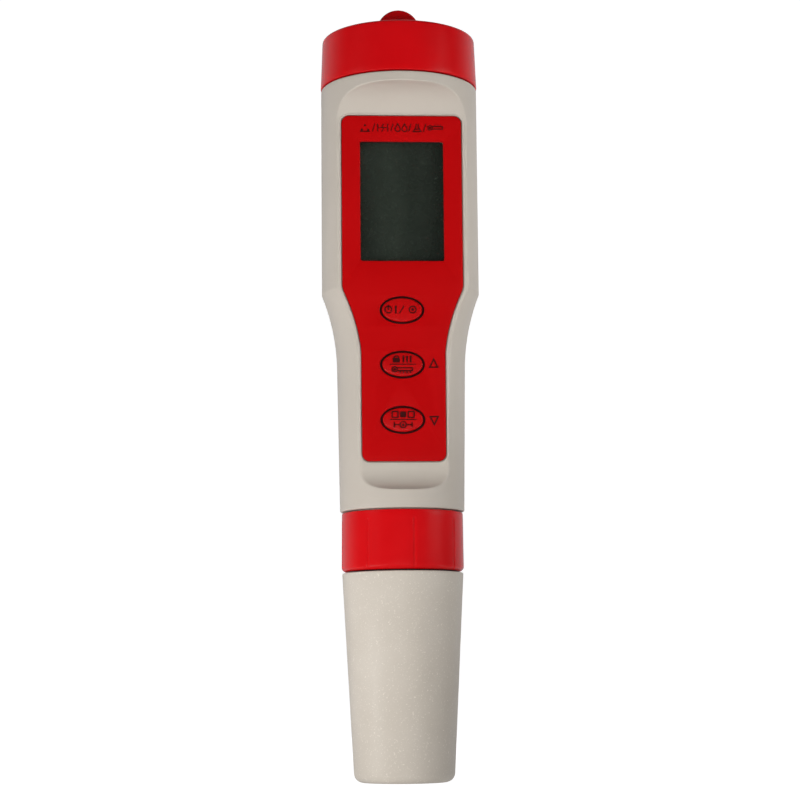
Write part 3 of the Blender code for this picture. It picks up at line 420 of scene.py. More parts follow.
def moulded_plastic(name, low, high, rough, grain_mm, grain_depth, grain_strength=0.35, specular=0.5):
    """Moulded plastic: a slight colour drift, uneven gloss and a fine surface grain."""
    material, tree, shader = new_material(name)
    drift = add_noise(tree, 60.0, 4.0)
    tree.links.new(blend_colours(tree, drift, low, high), shader.inputs["Base Color"])
    patches = add_noise(tree, 220.0, 3.0)
    vary_roughness(tree, shader, patches, rough - 0.05, rough + 0.05)
    grain = add_noise(tree, 1.0 / (grain_mm * MM), 2.0, 0.6)
    add_bump(tree, shader, grain, grain_strength, grain_depth * MM)
    shader.inputs["Specular IOR Level"].default_value = specular
    return material


def sleeve_plastic():
    """Spark-eroded plastic: a coarse grain whose peaks catch the light, partly through lower roughness and
    bump and partly through painted highlights that lighten their colour.
    """
    material, tree, shader = new_material("sleeve_grain")
    drift = add_noise(tree, 70.0, 4.0)
    base = blend_colours(tree, drift, (0.555, 0.500, 0.430), (0.600, 0.545, 0.475))
    speck = add_noise(tree, 2600.0, 2.0, 0.7)
    # Painted highlights: the colour is lightened at the grain's peaks to stand for their glints.
    painted_glint_specks = blend_colours(tree, speck, (0.0, 0.0, 0.0), (1.0, 1.0, 1.0), 0.60, 0.72)
    mix = tree.nodes.new("ShaderNodeMix")
    mix.data_type = "RGBA"
    colours = {slot.name: slot for slot in mix.inputs if slot.type == "RGBA"}
    tree.links.new(base, colours["A"])
    # Pale colour of the painted glints on the grain's peaks.
    colours["B"].default_value = (0.78, 0.72, 0.64, 1.0)
    tree.links.new(painted_glint_specks, mix.inputs["Factor"])
    for output in mix.outputs:
        if output.type == "RGBA":
            tree.links.new(output, shader.inputs["Base Color"])
    vary_roughness(tree, shader, speck, 0.52, 0.36)
    grain = add_noise(tree, 2400.0, 3.0, 0.65)
    add_bump(tree, shader, grain, 0.55, 0.05 * MM)
    return material


def clear_window():
    """Clear plate: almost wholly see-through, with a faint grey haze."""
    material, tree, shader = new_material("clear_window")
    haze = add_noise(tree, 300.0, 3.0)
    grey = blend_colours(tree, haze, (0.055, 0.070, 0.055), (0.085, 0.100, 0.085))
    tree.links.new(grey, shader.inputs["Base Color"])
    shader.inputs["Roughness"].default_value = 0.06
    shader.inputs["Alpha"].default_value = 0.05
    return material


def display_glass():
    """A switched-off display: dark green-grey, with painted shade darkening it to the right and towards the
    foot.
    """
    material, tree, shader = new_material("display_glass")
    bands = add_noise(tree, 160.0, 3.0, 0.5, (1.0, 1.0, 0.10))
    place = tree.nodes.new("ShaderNodeTexCoord")
    split = tree.nodes.new("ShaderNodeSeparateXYZ")
    tree.links.new(place.outputs["Generated"], split.inputs["Vector"])
    # Painted shade: the colour is made darker to the right and towards the foot.
    across = combine_values(tree, "MULTIPLY_ADD", split.outputs["X"], -0.62, bands)
    fade = combine_values(tree, "MULTIPLY_ADD", split.outputs["Z"], 0.22, across)
    dark = (0.0105, 0.0145, 0.0105)
    light = (0.0270, 0.0350, 0.0260)
    tree.links.new(blend_colours(tree, fade, dark, light, 0.0, 0.75), shader.inputs["Base Color"])
    smear = add_noise(tree, 500.0, 3.0)
    vary_roughness(tree, shader, smear, 0.22, 0.32)
    return material


def brushed_metal(name, low, high, rough, stretch=(1.0, 1.0, 0.04)):
    """Metal with fine lines along the pen."""
    material, tree, shader = new_material(name)
    lines = add_noise(tree, 9000.0, 3.0, 0.6, stretch)
    tree.links.new(blend_colours(tree, lines, low, high), shader.inputs["Base Color"])
    vary_roughness(tree, shader, lines, rough - 0.08, rough + 0.08)
    shader.inputs["Metallic"].default_value = 1.0
    return material


def board_lacquer():
    """Green solder mask with fine copper tracks showing through."""
    material, tree, shader = new_material("board_lacquer")
    place = tree.nodes.new("ShaderNodeTexCoord")
    tracks = tree.nodes.new("ShaderNodeTexBrick")
    tracks.inputs["Scale"].default_value = 420.0
    tracks.inputs["Mortar Size"].default_value = 0.05
    tracks.inputs["Color1"].default_value = (0.012, 0.105, 0.040, 1.0)
    tracks.inputs["Color2"].default_value = (0.016, 0.125, 0.048, 1.0)
    tracks.inputs["Mortar"].default_value = (0.045, 0.200, 0.085, 1.0)
    tree.links.new(place.outputs["Object"], tracks.inputs["Vector"])
    tree.links.new(tracks.outputs["Color"], shader.inputs["Base Color"])
    smear = add_noise(tree, 400.0, 3.0)
    vary_roughness(tree, shader, smear, 0.25, 0.40)
    return material


def bulb_glass():
    """Thin pale glass, mostly see-through."""
    material, tree, shader = new_material("bulb_glass")
    haze = add_noise(tree, 260.0, 3.0)
    pale = blend_colours(tree, haze, (0.80, 0.88, 0.86), (0.90, 0.95, 0.93))
    tree.links.new(pale, shader.inputs["Base Color"])
    shader.inputs["Roughness"].default_value = 0.05
    shader.inputs["Alpha"].default_value = 0.30
    return material


def foam():
    """Yellow foam with a cell pattern."""
    material, tree, shader = new_material("foam")
    place = tree.nodes.new("ShaderNodeTexCoord")
    cells = tree.nodes.new("ShaderNodeTexVoronoi")
    cells.inputs["Scale"].default_value = 1400.0
    tree.links.new(place.outputs["Object"], cells.inputs["Vector"])
    colour = blend_colours(tree, cells.outputs["Distance"], (0.42, 0.38, 0.18), (0.76, 0.72, 0.45), 0.1, 0.6)
    tree.links.new(colour, shader.inputs["Base Color"])
    add_bump(tree, shader, cells.outputs["Distance"], 0.8, 0.3 * MM)
    shader.inputs["Roughness"].default_value = 0.95
    return material


# Plastics: low and high colour, roughness, grain size and depth in mm, grain strength, specular
PLASTICS = {
    "barrel": ((0.505, 0.455, 0.395), (0.530, 0.480, 0.420), 0.40, 0.32, 0.012),
    "red": ((0.560, 0.0020, 0.0040), (0.610, 0.0030, 0.0055), 0.24, 0.9, 0.006, 0.2, 0.3),
    "panel": ((0.425, 0.0012, 0.0020), (0.455, 0.0018, 0.0028), 0.42, 0.25, 0.006, 0.25, 0.12),
    "key": ((0.435, 0.0014, 0.0022), (0.470, 0.0020, 0.0030), 0.24, 0.5, 0.005, 0.2),
    "ink": ((0.030, 0.0012, 0.0012), (0.045, 0.0016, 0.0016), 0.55, 0.3, 0.004),
    # outline: near-black, painted shade for the ring in each key's gap
    "outline": ((0.012, 0.0015, 0.0015), (0.020, 0.0025, 0.0025), 0.45, 0.3, 0.004),
    "dark": ((0.012, 0.012, 0.013), (0.020, 0.020, 0.021), 0.45, 0.3, 0.010),
    "white": ((0.66, 0.66, 0.64), (0.74, 0.74, 0.72), 0.45, 0.4, 0.008),
    "rubber": ((0.012, 0.012, 0.012), (0.022, 0.022, 0.022), 0.70, 0.4, 0.015),
}
MATERIALS = {name: moulded_plastic(name + "_plastic", *look) for name, look in PLASTICS.items()}
MATERIALS.update({
    "sleeve": sleeve_plastic(),
    "window": clear_window(),
    "display": display_glass(),
    "steel": brushed_metal("steel", (0.55, 0.55, 0.54), (0.70, 0.70, 0.68), 0.28),
    "gold": brushed_metal("gold", (0.72, 0.50, 0.18), (0.86, 0.62, 0.26), 0.26),
    "board": board_lacquer(),
    "bulb": bulb_glass(),
    "foam": foam(),
})


def place_piece(piece, body, material, *nodes):
    """Give a piece its material and its body, and hide the CAD nodes that it stands for."""
    piece.data.materials.clear()
    piece.data.materials.append(MATERIALS[material])
    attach(piece, body)
    if nodes:
        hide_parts(*nodes)


# ---------- barrel

def barrel_radius(height):
    """Outer radius: a slight taper, a concave flare, then the straight head."""
    if height <= FLARE_START_Z:
        share = (height - BARREL_BOTTOM_Z) / (FLARE_START_Z - BARREL_BOTTOM_Z)
        return BARREL_BOTTOM_R + (FLARE_START_R - BARREL_BOTTOM_R) * share
    if height >= SHOULDER_Z:
        return HEAD_R
    rise = height - FLARE_START_Z
    return FLARE_START_R + FLARE_ARC_R - math.sqrt(FLARE_ARC_R ** 2 - rise ** 2)


def inside_fillet(y, rise, radius):
    """How far a point is inside the round end of the recess."""
    from_centre_y = y - (FACE_Y - radius)
    return radius - np.hypot(np.maximum(from_centre_y, 0.0), rise)


def recess_depth(y, height):
    """How far a point is inside the front recess; negative outside it."""
    flat = FACE_Y - y
    if height > TOP_FILLET_Z:
        return np.minimum(flat, inside_fillet(y, height - TOP_FILLET_Z, TOP_FILLET_R))
    if height < SCOOP_Z:
        return np.minimum(flat, inside_fillet(y, SCOOP_Z - height, SCOOP_R))
    return flat


def rounded_both(first, second, radius):
    """Inside both shapes, with the edge between them rounded."""
    a = np.maximum(first + radius, 0.0)
    b = np.maximum(second + radius, 0.0)
    return np.minimum(np.maximum(first, second), -radius) + np.hypot(a, b)


def barrel_ring(height, angles):
    """Points round the barrel at one height; angle 0 is the front."""
    limit = barrel_radius(height)
    low = np.full(len(angles), 4.0 * MM)
    high = np.full(len(angles), HEAD_R + MM)
    for _ in range(30):
        middle = (low + high) / 2.0
        outside = rounded_both(middle - limit, recess_depth(-middle * np.cos(angles), height), RIM_ROUND)
        low = np.where(outside < 0.0, middle, low)
        high = np.where(outside < 0.0, high, middle)
    radius = (low + high) / 2.0
    return [(r * math.sin(a), -r * math.cos(a), height) for r, a in zip(radius, angles)]


def edge_angle(height):
    """Angle from the front at which the recess meets the round barrel."""
    limit = barrel_radius(height)
    inside = limit
    if SCOOP_Z - SCOOP_R < height < TOP_FILLET_Z + TOP_FILLET_R:
        inside = -FACE_Y
        if height > TOP_FILLET_Z:
            inside += TOP_FILLET_R - math.sqrt(TOP_FILLET_R ** 2 - (height - TOP_FILLET_Z) ** 2)
        if height < SCOOP_Z:
            inside += SCOOP_R - math.sqrt(SCOOP_R ** 2 - (SCOOP_Z - height) ** 2)
    angle = math.acos(min(1.0, inside / limit))
    return max(angle, math.radians(26.0))


def ring_angles(edge):
    """Angles round the barrel, closest together where the recess edge runs."""
    band = math.radians(4.0)
    half = list(np.linspace(0.0, edge - band, 26)[:-1])
    half += list(np.linspace(edge - band, edge + band, 19)[:-1])
    half += list(np.linspace(edge + band, math.pi, 52))
    mirrored = [-angle for angle in reversed(half[1:-1])]
    return np.array(half + mirrored)


def spaced(start, end, steps):
    return [start + (end - start) * step / steps for step in range(steps)]


def barrel_heights():
    """Ring heights, close together at the scoop, the shoulder and the top fillet."""
    heights = []
    scoop_edge = SCOOP_Z - SCOOP_R
    scoop_deg = 67.0
    fillet_deg = 84.0
    heights += spaced(BARREL_BOTTOM_Z + FOOT_ROUND, scoop_edge - 0.6 * MM, 5)
    heights += spaced(scoop_edge - 0.6 * MM, scoop_edge + 0.4 * MM, 12)
    for step in range(22):
        angle = math.radians(scoop_deg * (1.0 - step / 22))
        heights.append(SCOOP_Z - SCOOP_R * math.sin(angle))
    heights += spaced(SCOOP_Z, FLARE_START_Z, 16)
    heights += spaced(FLARE_START_Z, SHOULDER_Z - 0.8 * MM, 26)
    heights += spaced(SHOULDER_Z - 0.8 * MM, SHOULDER_Z + 0.8 * MM, 8)
    heights += spaced(SHOULDER_Z + 0.8 * MM, TOP_FILLET_Z, 16)
    for step in range(40):
        angle = math.radians(fillet_deg * step / 40)
        heights.append(TOP_FILLET_Z + TOP_FILLET_R * math.sin(angle))
    top = TOP_FILLET_Z + TOP_FILLET_R
    heights += spaced(TOP_FILLET_Z + TOP_FILLET_R * math.sin(math.radians(fillet_deg)), top + 0.7 * MM, 16)
    heights += spaced(top + 0.7 * MM, HEAD_TOP_Z - HEAD_ROUND, 3)
    heights.append(HEAD_TOP_Z - HEAD_ROUND)
    return heights


def flat_half_width(height):
    return math.sqrt(barrel_radius(height) ** 2 - FACE_Y ** 2)


def panel_outline(grow):
    """The panel's outline in X and Z: wide at the window, narrow at the keys."""
    low = PANEL_LOW_HALF + grow
    high = PANEL_HIGH_HALF + grow
    radius = PANEL_CORNER_R + grow
    side = [(low, PANEL_BOTTOM_Z - grow, radius)]
    steps = 22
    for step in range(1, steps + 1):
        height = FLARE_START_Z + (SHOULDER_Z - FLARE_START_Z) * step / steps
        width = flat_half_width(height) - PANEL_MARGIN + grow
        if low < width < high:
            side.append((width, height, 0.0))
    side.append((high, SHOULDER_Z + 0.4 * MM, 0.0))
    side.append((high, PANEL_TOP_Z + grow, radius))
    mirrored = [(-x, z, corner) for x, z, corner in reversed(side)]
    return softened(side + mirrored, 8)


def pocket_cutter():
    """The panel's pocket: straight walls with a rounded mouth."""
    mouth = 0.22 * MM
    reach = 6.0 * MM
    rings = []
    levels = [(FACE_Y - reach, mouth)]
    for step in range(5):
        angle = math.radians(90.0 * step / 4)
        levels.append((FACE_Y + mouth * math.sin(angle), mouth * (1.0 - math.sin(angle) ** 2)))
    levels.append((FACE_Y + POCKET_DEPTH, 0.0))
    for y, flare in levels:
        rings.append([(x, y, z) for x, z in panel_outline(POCKET_GAP + flare)])
    return stacked("pocket_tool", rings)


def cavity_cutter():
    """The barrel's hollow, with a flat wall left behind the panel."""
    floor_z = 66.0 * MM
    roof_z = 163.2 * MM
    neck_floor_z = 166.0 * MM
    wall_low_z = 67.6 * MM
    wall_high_z = 165.5 * MM
    far = 40.0 * MM
    profile = [(0.0, BARREL_BOTTOM_Z - MM), (SPIGOT_BORE_R, BARREL_BOTTOM_Z - MM), (SPIGOT_BORE_R, floor_z)]
    profile.append((barrel_radius(floor_z) - WALL, floor_z))
    for step in range(9):
        height = FLARE_START_Z + (SHOULDER_Z - FLARE_START_Z) * step / 8
        profile.append((barrel_radius(height) - WALL, height))
    profile.append((HEAD_R - WALL, roof_z))
    profile.append((NECK_BORE_R, neck_floor_z))
    profile.append((NECK_BORE_R, HEAD_TOP_Z + MM))
    profile.append((0.0, HEAD_TOP_Z + MM))
    hollow = turned("cavity_tool", profile, 72)
    side = [
        (-far, wall_low_z), (FLAT_WALL_BACK_Y, wall_low_z),
        (FLAT_WALL_BACK_Y, wall_high_z), (-far, wall_high_z),
    ]
    keeper = prism("keeper_tool", side, -far, far, "X")
    solidify_booleans(hollow, [("DIFFERENCE", keeper)])
    return hollow


def make_barrel():
    """The beige shell: rounded foot, recess, flare and head, hollow, with its openings cut."""
    rings = []
    for step in range(5):
        angle = math.radians(90.0 * step / 5)
        shrink = FOOT_ROUND * (1.0 - math.sin(angle))
        height = BARREL_BOTTOM_Z + FOOT_ROUND * (1.0 - math.cos(angle))
        angles = ring_angles(edge_angle(BARREL_BOTTOM_Z))
        ring = barrel_ring(BARREL_BOTTOM_Z + FOOT_ROUND, angles)
        scale = 1.0 - shrink / BARREL_BOTTOM_R
        rings.append([(x * scale, y * scale, height) for x, y, _ in ring])
    for height in barrel_heights():
        rings.append(barrel_ring(height, ring_angles(edge_angle(height))))
    for step in range(1, 6):
        angle = math.radians(90.0 * step / 5)
        shrink = HEAD_ROUND * (1.0 - math.cos(angle))
        height = HEAD_TOP_Z - HEAD_ROUND + HEAD_ROUND * math.sin(angle)
        scale = 1.0 - shrink / HEAD_R
        rings.append([(x * scale, y * scale, height) for x, y, _ in rings[-step]])
    barrel = stacked("barrel_shell", rings)
    tools = [("DIFFERENCE", cavity_cutter()), ("DIFFERENCE", pocket_cutter())]
    front_y = FACE_Y + POCKET_DEPTH - MM
    back_y = -7.0 * MM
    margin = 2.6 * MM
    opening = [(u, v) for u, v, _ in rectangle(0.0, WINDOW_Z, WINDOW_W + margin, WINDOW_H + margin)]
    tools.append(("DIFFERENCE", prism("opening_tool", opening, front_y, back_y)))
    for number, height in enumerate(KEY_Z, start=1):
        hole = ellipse(KEY_X, height, KEY_HOLE_W, KEY_HOLE_H)
        tools.append(("DIFFERENCE", prism(f"key_tool_{number}", hole, front_y, back_y)))
    solidify_booleans(barrel, tools)
    place_piece(barrel, "root", "barrel", "body_shell")


def make_neck():
    """The threaded tube that the battery cap screws onto."""
    edge = TUBE_EDGE_R
    profile = [(NECK_BORE_R, HEAD_TOP_Z - MM), (NECK_R, HEAD_TOP_Z - MM)]
    profile += arc(NECK_R - edge, NECK_TOP_Z - edge, edge, 0.0, 90.0, 4)
    profile += arc(NECK_BORE_R + edge, NECK_TOP_Z - edge, edge, 90.0, 180.0, 4)
    neck = turned("neck_tube", profile, 96)
    crest_r = 16.6 * MM
    turns_z = (169.0 * MM, 175.6 * MM)
    ridge = thread_ridge("neck_ridge", NECK_R, crest_r, *turns_z, CAP_PITCH, 0.0, CAP_RIDGE)
    solidify_booleans(neck, [("UNION", ridge)])
    place_piece(neck, "root", "barrel")


def make_spigot():
    """The threaded tube that the grip collar screws onto."""
    edge = TUBE_EDGE_R
    low = SPIGOT_BOTTOM_Z
    profile = [(SPIGOT_BORE_R, BARREL_BOTTOM_Z + MM)]
    profile += arc(SPIGOT_BORE_R + edge, low + edge, edge, 180.0, 270.0, 4)
    profile += arc(SPIGOT_R - edge, low + edge, edge, -90.0, 0.0, 4)
    profile += [(SPIGOT_R, BARREL_BOTTOM_Z + MM)]
    spigot = turned("spigot_tube", profile, 96)
    crest_r = 13.2 * MM
    turns_z = (55.6 * MM, 61.6 * MM)
    ridge = thread_ridge("spigot_ridge", SPIGOT_R, crest_r, *turns_z, COLLAR_PITCH, 0.0, COLLAR_RIDGE)
    solidify_booleans(spigot, [("UNION", ridge)])
    place_piece(spigot, "root", "barrel")


# ---------- panel and keys

def make_panel():
    window = softened(rectangle(0.0, WINDOW_Z, WINDOW_W, WINDOW_H, 0.45 * MM), 5)
    loops = [panel_outline(0.0), window]
    for height in KEY_Z:
        loops.append(ellipse(KEY_X, height, KEY_HOLE_W, KEY_HOLE_H))
    panel = front_plate("panel_sheet", loops, PANEL_FRONT_Y, PANEL_BACK_Y - PANEL_FRONT_Y, 0.10 * MM)
    place_piece(panel, "root", "panel", "front_panel")


def make_key(number, height):
    """An oval key: a crowned top, a rounded rim, straight sides and a hidden flange."""
    rim = 0.42 * MM
    crown = 0.14 * MM
    steps = 96
    half_w = KEY_W / 2.0
    half_h = KEY_H / 2.0
    levels = []
    for step in range(1, 8):
        share = step / 8.0
        levels.append((half_h * (1.0 - share) + rim * share, KEY_FRONT_Y + crown * share ** 2))
    for step in range(6):
        angle = math.radians(90.0 * step / 5)
        levels.append((rim * (1.0 - math.sin(angle)), KEY_FRONT_Y + crown + rim * (1.0 - math.cos(angle))))
    wall_end = -8.05 * MM
    flange = (12.4 * MM, 8.4 * MM)
    levels.append((0.0, wall_end))
    rings = []
    for inset, y in levels:
        rise = max(half_h - inset, 0.05 * MM)
        outline = ellipse(KEY_X, height, 2.0 * (half_w - inset), 2.0 * rise, steps)
        rings.append([(x, y, z) for x, z in outline])
    for y in (wall_end, KEY_BACK_Y):
        outline = ellipse(KEY_X, height, *flange, steps)
        rings.append([(x, y, z) for x, z in outline])
    key = stacked(f"key_cap_{number}", rings)
    place_piece(key, f"button_{number}", "key", f"button_key_{number}")


def make_gap_shade_ring(number, height):
    """A dark ring sunk in each key's gap: painted shade that stands for the shadow in the gap and shows as a
    dark line round each key.
    """
    inner_gap = 0.12 * MM
    outer_gap = 0.04 * MM
    sunk = 0.12 * MM
    thick = 0.5 * MM
    hole = ellipse(KEY_X, height, KEY_W + inner_gap, KEY_H + inner_gap, 96)
    outer = ellipse(KEY_X, height, KEY_HOLE_W - outer_gap, KEY_HOLE_H - outer_gap, 96)
    ring = front_plate(f"key_seal_{number}", [outer, hole], PANEL_FRONT_Y + sunk, thick, 0.04 * MM)
    # Painted shade: the ring is near-black where the gap round the key is in shadow.
    place_piece(ring, "root", "outline")


# ---------- printed marks

INK_THICK = 0.05 * MM
HEADER_Z = 155.5 * MM
ARROW_OFFSET = 7.4 * MM

# Stroke widths in millimetres
BOLD = 0.40
FINE = 0.30


def stroke_outlines(points, width, closed):
    """The left and right sides of a line of even width, with mitred corners."""
    count = len(points)
    left = []
    right = []
    for index, (u, v) in enumerate(points):
        here = Vector((u, v))
        before = Vector(points[index - 1]) if (index or closed) else None
        after = Vector(points[(index + 1) % count]) if (index < count - 1 or closed) else None
        into = (here - before).normalized() if before is not None else (after - here).normalized()
        out = (after - here).normalized() if after is not None else into
        along = (into + out).normalized()
        side = Vector((-along.y, along.x))
        reach = width / 2.0 / max(0.35, side.dot(Vector((-into.y, into.x))))
        left.append(tuple(here + side * reach))
        right.append(tuple(here - side * reach))
    return left, right


class Marks:
    """Collects flat printed shapes, in millimetres from an origin, as one thin object."""

    def __init__(self, name, front_y, origin_x=0.0, origin_z=0.0):
        self.name = name
        self.depths = (front_y - INK_THICK, front_y + INK_THICK)
        self.origin_x = origin_x
        self.origin_z = origin_z
        self.shape = bmesh.new()

    def ring_at(self, outline, y):
        ring = []
        for u, v in outline:
            ring.append(self.shape.verts.new((self.origin_x + u * MM, y, self.origin_z + v * MM)))
        return ring

    def slab(self, outline):
        near, far = [self.ring_at(outline, y) for y in self.depths]
        self.shape.faces.new(near)
        self.shape.faces.new(list(reversed(far)))
        for index in range(len(outline)):
            after = (index + 1) % len(outline)
            self.shape.faces.new((near[index], near[after], far[after], far[index]))

    def band(self, left, right):
        """A closed loop's band, as two rings at two depths."""
        rings = [self.ring_at(outline, y) for outline in (left, right) for y in self.depths]
        order = (rings[0], rings[2], rings[3], rings[1])
        for first, second in zip(order, order[1:] + order[:1]):
            for index in range(len(left)):
                after = (index + 1) % len(left)
                self.shape.faces.new((first[index], first[after], second[after], second[index]))

    def line(self, points, width, closed=False):
        left, right = stroke_outlines(points, width, closed)
        if closed:
            self.band(left, right)
        else:
            self.slab(left + list(reversed(right)))

    def circle(self, u, v, radius, width):
        ring = ellipse(u, v, 2.0 * radius, 2.0 * radius, 28)
        self.line(ring, width, True)

    def dot(self, u, v, radius):
        self.slab(ellipse(u, v, 2.0 * radius, 2.0 * radius, 20))

    def done(self, body):
        item = finish_mesh(self.name, self.shape, 30.0)
        place_piece(item, body, "ink")


def drop_outline(u, v, size):
    """A water drop standing on its round end."""
    points = arc(u, v - size * 0.18, size * 0.32, -215.0, 35.0, 16)
    return points + [(u, v + size * 0.5)]


def draw_header():
    """A row of pictograms above the window: probe plates, spark, drop, flask, thermometer."""
    marks = Marks("header_marks", PANEL_FRONT_Y, 0.0, HEADER_Z)
    half = 0.95
    stroke = 0.24
    for number in range(3):
        marks.dot(-9.55 + number * 0.75, -0.55 + (number % 2) * 1.1, 0.26)
    marks.line([(-10.0, -half), (-7.6, -half)], stroke)
    for place in (-6.7, -2.3, 2.0, 5.6):
        marks.line([(place - 0.3, -half), (place + 0.3, half)], 0.2)
    for place in (-5.7, -3.3):
        marks.line([(place, -half), (place, half)], stroke)
    marks.line([(-5.4, 0.0), (-5.0, 0.0)], stroke)
    marks.line([(-4.0, 0.0), (-3.6, 0.0)], stroke)
    marks.line([(-4.3, half), (-4.75, 0.0), (-4.25, 0.0), (-4.7, -half)], stroke)
    for place in (-0.9, 0.75):
        marks.line(drop_outline(place, 0.0, 2.0 * half), stroke, True)
    neck = 0.2
    flask = [(3.55, half), (3.55, neck), (2.85, -half), (4.75, -half), (4.05, neck), (4.05, half)]
    marks.line(flask, stroke)
    marks.line([(3.25, -0.35), (4.35, -0.35)], stroke)
    marks.circle(6.9, 0.0, 0.55, stroke)
    marks.dot(6.9, 0.0, 0.28)
    marks.line([(7.4, 0.3), (9.9, 0.3), (9.9, -0.3), (7.4, -0.3)], stroke)
    for number in range(3):
        tick = 8.1 + number * 0.7
        marks.line([(tick, 0.3), (tick, 0.85)], 0.18)
    marks.done("root")


def draw_triangles():
    """Outlined arrows beside the lower two keys."""
    marks = Marks("arrow_marks", PANEL_FRONT_Y, KEY_X + ARROW_OFFSET)
    half = 0.95
    for height, way in ((98.2, half), (84.5, -half)):
        marks.line([(-half, height - way), (half, height - way), (0.0, height + way)], 0.34, True)
    marks.done("root")


def key_marks(number):
    """Marks on one key, measured from its middle."""
    return Marks(f"key_marks_{number}", KEY_FRONT_Y + 0.03 * MM, KEY_X, KEY_Z[number - 1])


def draw_power_marks():
    """Upper key: a power sign, on, and off."""
    marks = key_marks(1)
    row = 0.95
    for place in (-3.3, 2.5):
        marks.circle(place, 0.0, 0.80, FINE)
    marks.line([(-3.3, -0.1), (-3.3, row + 0.15)], FINE)
    marks.line([(-1.5, -row), (-1.5, row)], BOLD)
    marks.line([(-0.7, -row), (0.5, row)], 0.24)
    marks.dot(2.5, 0.0, 0.34)
    marks.done("button_1")


def draw_hold_marks():
    """Middle key: a padlock and bars over a thermometer."""
    marks = key_marks(2)
    row = 1.22
    marks.line([(-3.1, 0.0), (3.1, 0.0)], 0.24)
    marks.slab(softened(rectangle(-1.5, row - 0.28, 1.7, 1.1, 0.1), 2))
    marks.line(arc(-1.5, row + 0.25, 0.52, 180.0, 0.0, 10), 0.26)
    for place in (0.2, 1.05, 1.9):
        marks.line([(place, row - 0.8), (place, row + 0.8)], BOLD)
    marks.circle(-1.9, -row, 0.62, FINE)
    marks.dot(-1.9, -row, 0.3)
    side = 0.34
    marks.line([(-1.3, side - row), (2.3, side - row), (2.3, -side - row), (-1.3, -side - row)], 0.28)
    for number in range(4):
        tick = -0.6 + number * 0.8
        marks.line([(tick, -side - row), (tick, -0.95 - row)], 0.26)
    marks.done("button_2")


def draw_mode_marks():
    """Lower key: three boxes over a target between stops."""
    marks = key_marks(3)
    row = 1.22
    marks.line([(-3.1, 0.0), (3.1, 0.0)], 0.24)
    for place in (-1.9, 0.0, 1.9):
        box = softened(rectangle(place, row, 1.4, 1.4, 0.12), 2)
        if place == 0.0:
            marks.slab(box)
        else:
            marks.line(box, FINE, True)
    marks.circle(0.0, -row, 0.72, FINE)
    marks.dot(0.0, -row, 0.3)
    for way in (-1.0, 1.0):
        end = way * 2.1
        marks.line([(way * 0.9, -row), (end, -row)], FINE)
        marks.line([(end, -row - 0.65), (end, -row + 0.65)], FINE)
    marks.done("button_3")


# ---------- cap, collar, sleeve

def make_battery_cap():
    """The screw cap: a cup with a rivet in its ceiling, an inner thread and a lug on top."""
    edge = CAP_EDGE_R
    mouth = CAP_MOUTH_R
    chamfer = 0.2 * MM
    side_top_z = CAP_TOP_Z - edge
    profile = [(CAP_BORE_R, CAP_CEILING_Z), (CAP_BORE_R, CAP_BOTTOM_Z + chamfer)]
    profile.append((CAP_BORE_R + chamfer, CAP_BOTTOM_Z))
    profile += arc(CAP_BOTTOM_R - mouth, CAP_BOTTOM_Z + mouth, mouth, -90.0, 0.0, 4)
    for step in range(1, 6):
        share = step / 6.0
        side_r = CAP_BOTTOM_R + (CAP_TOP_R - CAP_BOTTOM_R) * share
        profile.append((side_r, CAP_BOTTOM_Z + (side_top_z - CAP_BOTTOM_Z) * share))
    profile += arc(CAP_TOP_R - edge, side_top_z, edge, 0.0, 90.0, 8)
    profile += [
        (12.0 * MM, CAP_TOP_Z), (0.0, CAP_TOP_Z), (0.0, RIVET_LOW_Z), (RIVET_R - 0.3 * MM, RIVET_LOW_Z),
        (RIVET_R, RIVET_LOW_Z + 0.3 * MM), (RIVET_R, RIVET_HIGH_Z), (RIVET_STEM_R, RIVET_HIGH_Z),
        (RIVET_STEM_R, CAP_CEILING_Z),
    ]
    cap = turned("screw_cap", profile)
    crest_r = 16.2 * MM
    turns_z = (168.9 * MM, 174.4 * MM)
    ridge = thread_ridge("cap_ridge", CAP_BORE_R, crest_r, *turns_z, CAP_PITCH, 0.5, CAP_RIDGE)
    outer = arc(0.0, LUG_ARC_Z, LUG_ARC_R, 0.0, 180.0, 40)
    outer += [(-LUG_ARC_R, LUG_FOOT_Z), (LUG_ARC_R, LUG_FOOT_Z)]
    hole = ellipse(0.0, LUG_HOLE_Z, 2.0 * LUG_HOLE_R, 2.0 * LUG_HOLE_R, 48)
    lug = front_plate("lug_tool", [outer, hole], -LUG_THICK / 2.0, LUG_THICK, LUG_EDGE_R)
    solidify_booleans(cap, [("UNION", ridge), ("UNION", lug)])
    place_piece(cap, "battery_cap", "red", "battery_cap")


def collar_levels():
    """(radius, height) of each ring; a radius of None follows the collar's taper."""
    foot = COLLAR_FOOT_R
    head = COLLAR_HEAD_R
    groove_low_z = GROOVE_TOP_Z - 0.8 * MM
    groove_high_z = GROOVE_TOP_Z + 0.2 * MM
    levels = arc(COLLAR_BOTTOM_R - foot, COLLAR_BOTTOM_Z + foot, foot, -90.0, 0.0, 8)
    heights = spaced(COLLAR_BOTTOM_Z + foot, groove_low_z, 8)[1:]
    heights += spaced(groove_low_z, groove_high_z, 10)
    heights += [groove_high_z, COLLAR_TOP_Z - head]
    levels += [(None, height) for height in heights]
    levels += arc(COLLAR_TOP_R - head, COLLAR_TOP_Z - head, head, 0.0, 90.0, 4)[1:]
    return levels


def groove_depth(angle, height):
    """How far the nearest upright groove is sunk at a point; rounded at its top end."""
    gap = 2.0 * math.pi / GROOVE_COUNT
    turn = (angle - math.radians(GROOVE_FIRST_DEG)) % gap
    across = min(turn, gap - turn) * COLLAR_BOTTOM_R / GROOVE_HALF_W
    above = max(0.0, height - (GROOVE_TOP_Z - GROOVE_HALF_W)) / GROOVE_HALF_W
    return GROOVE_DEPTH * (1.0 - min(1.0, math.hypot(across, above)) ** 2)


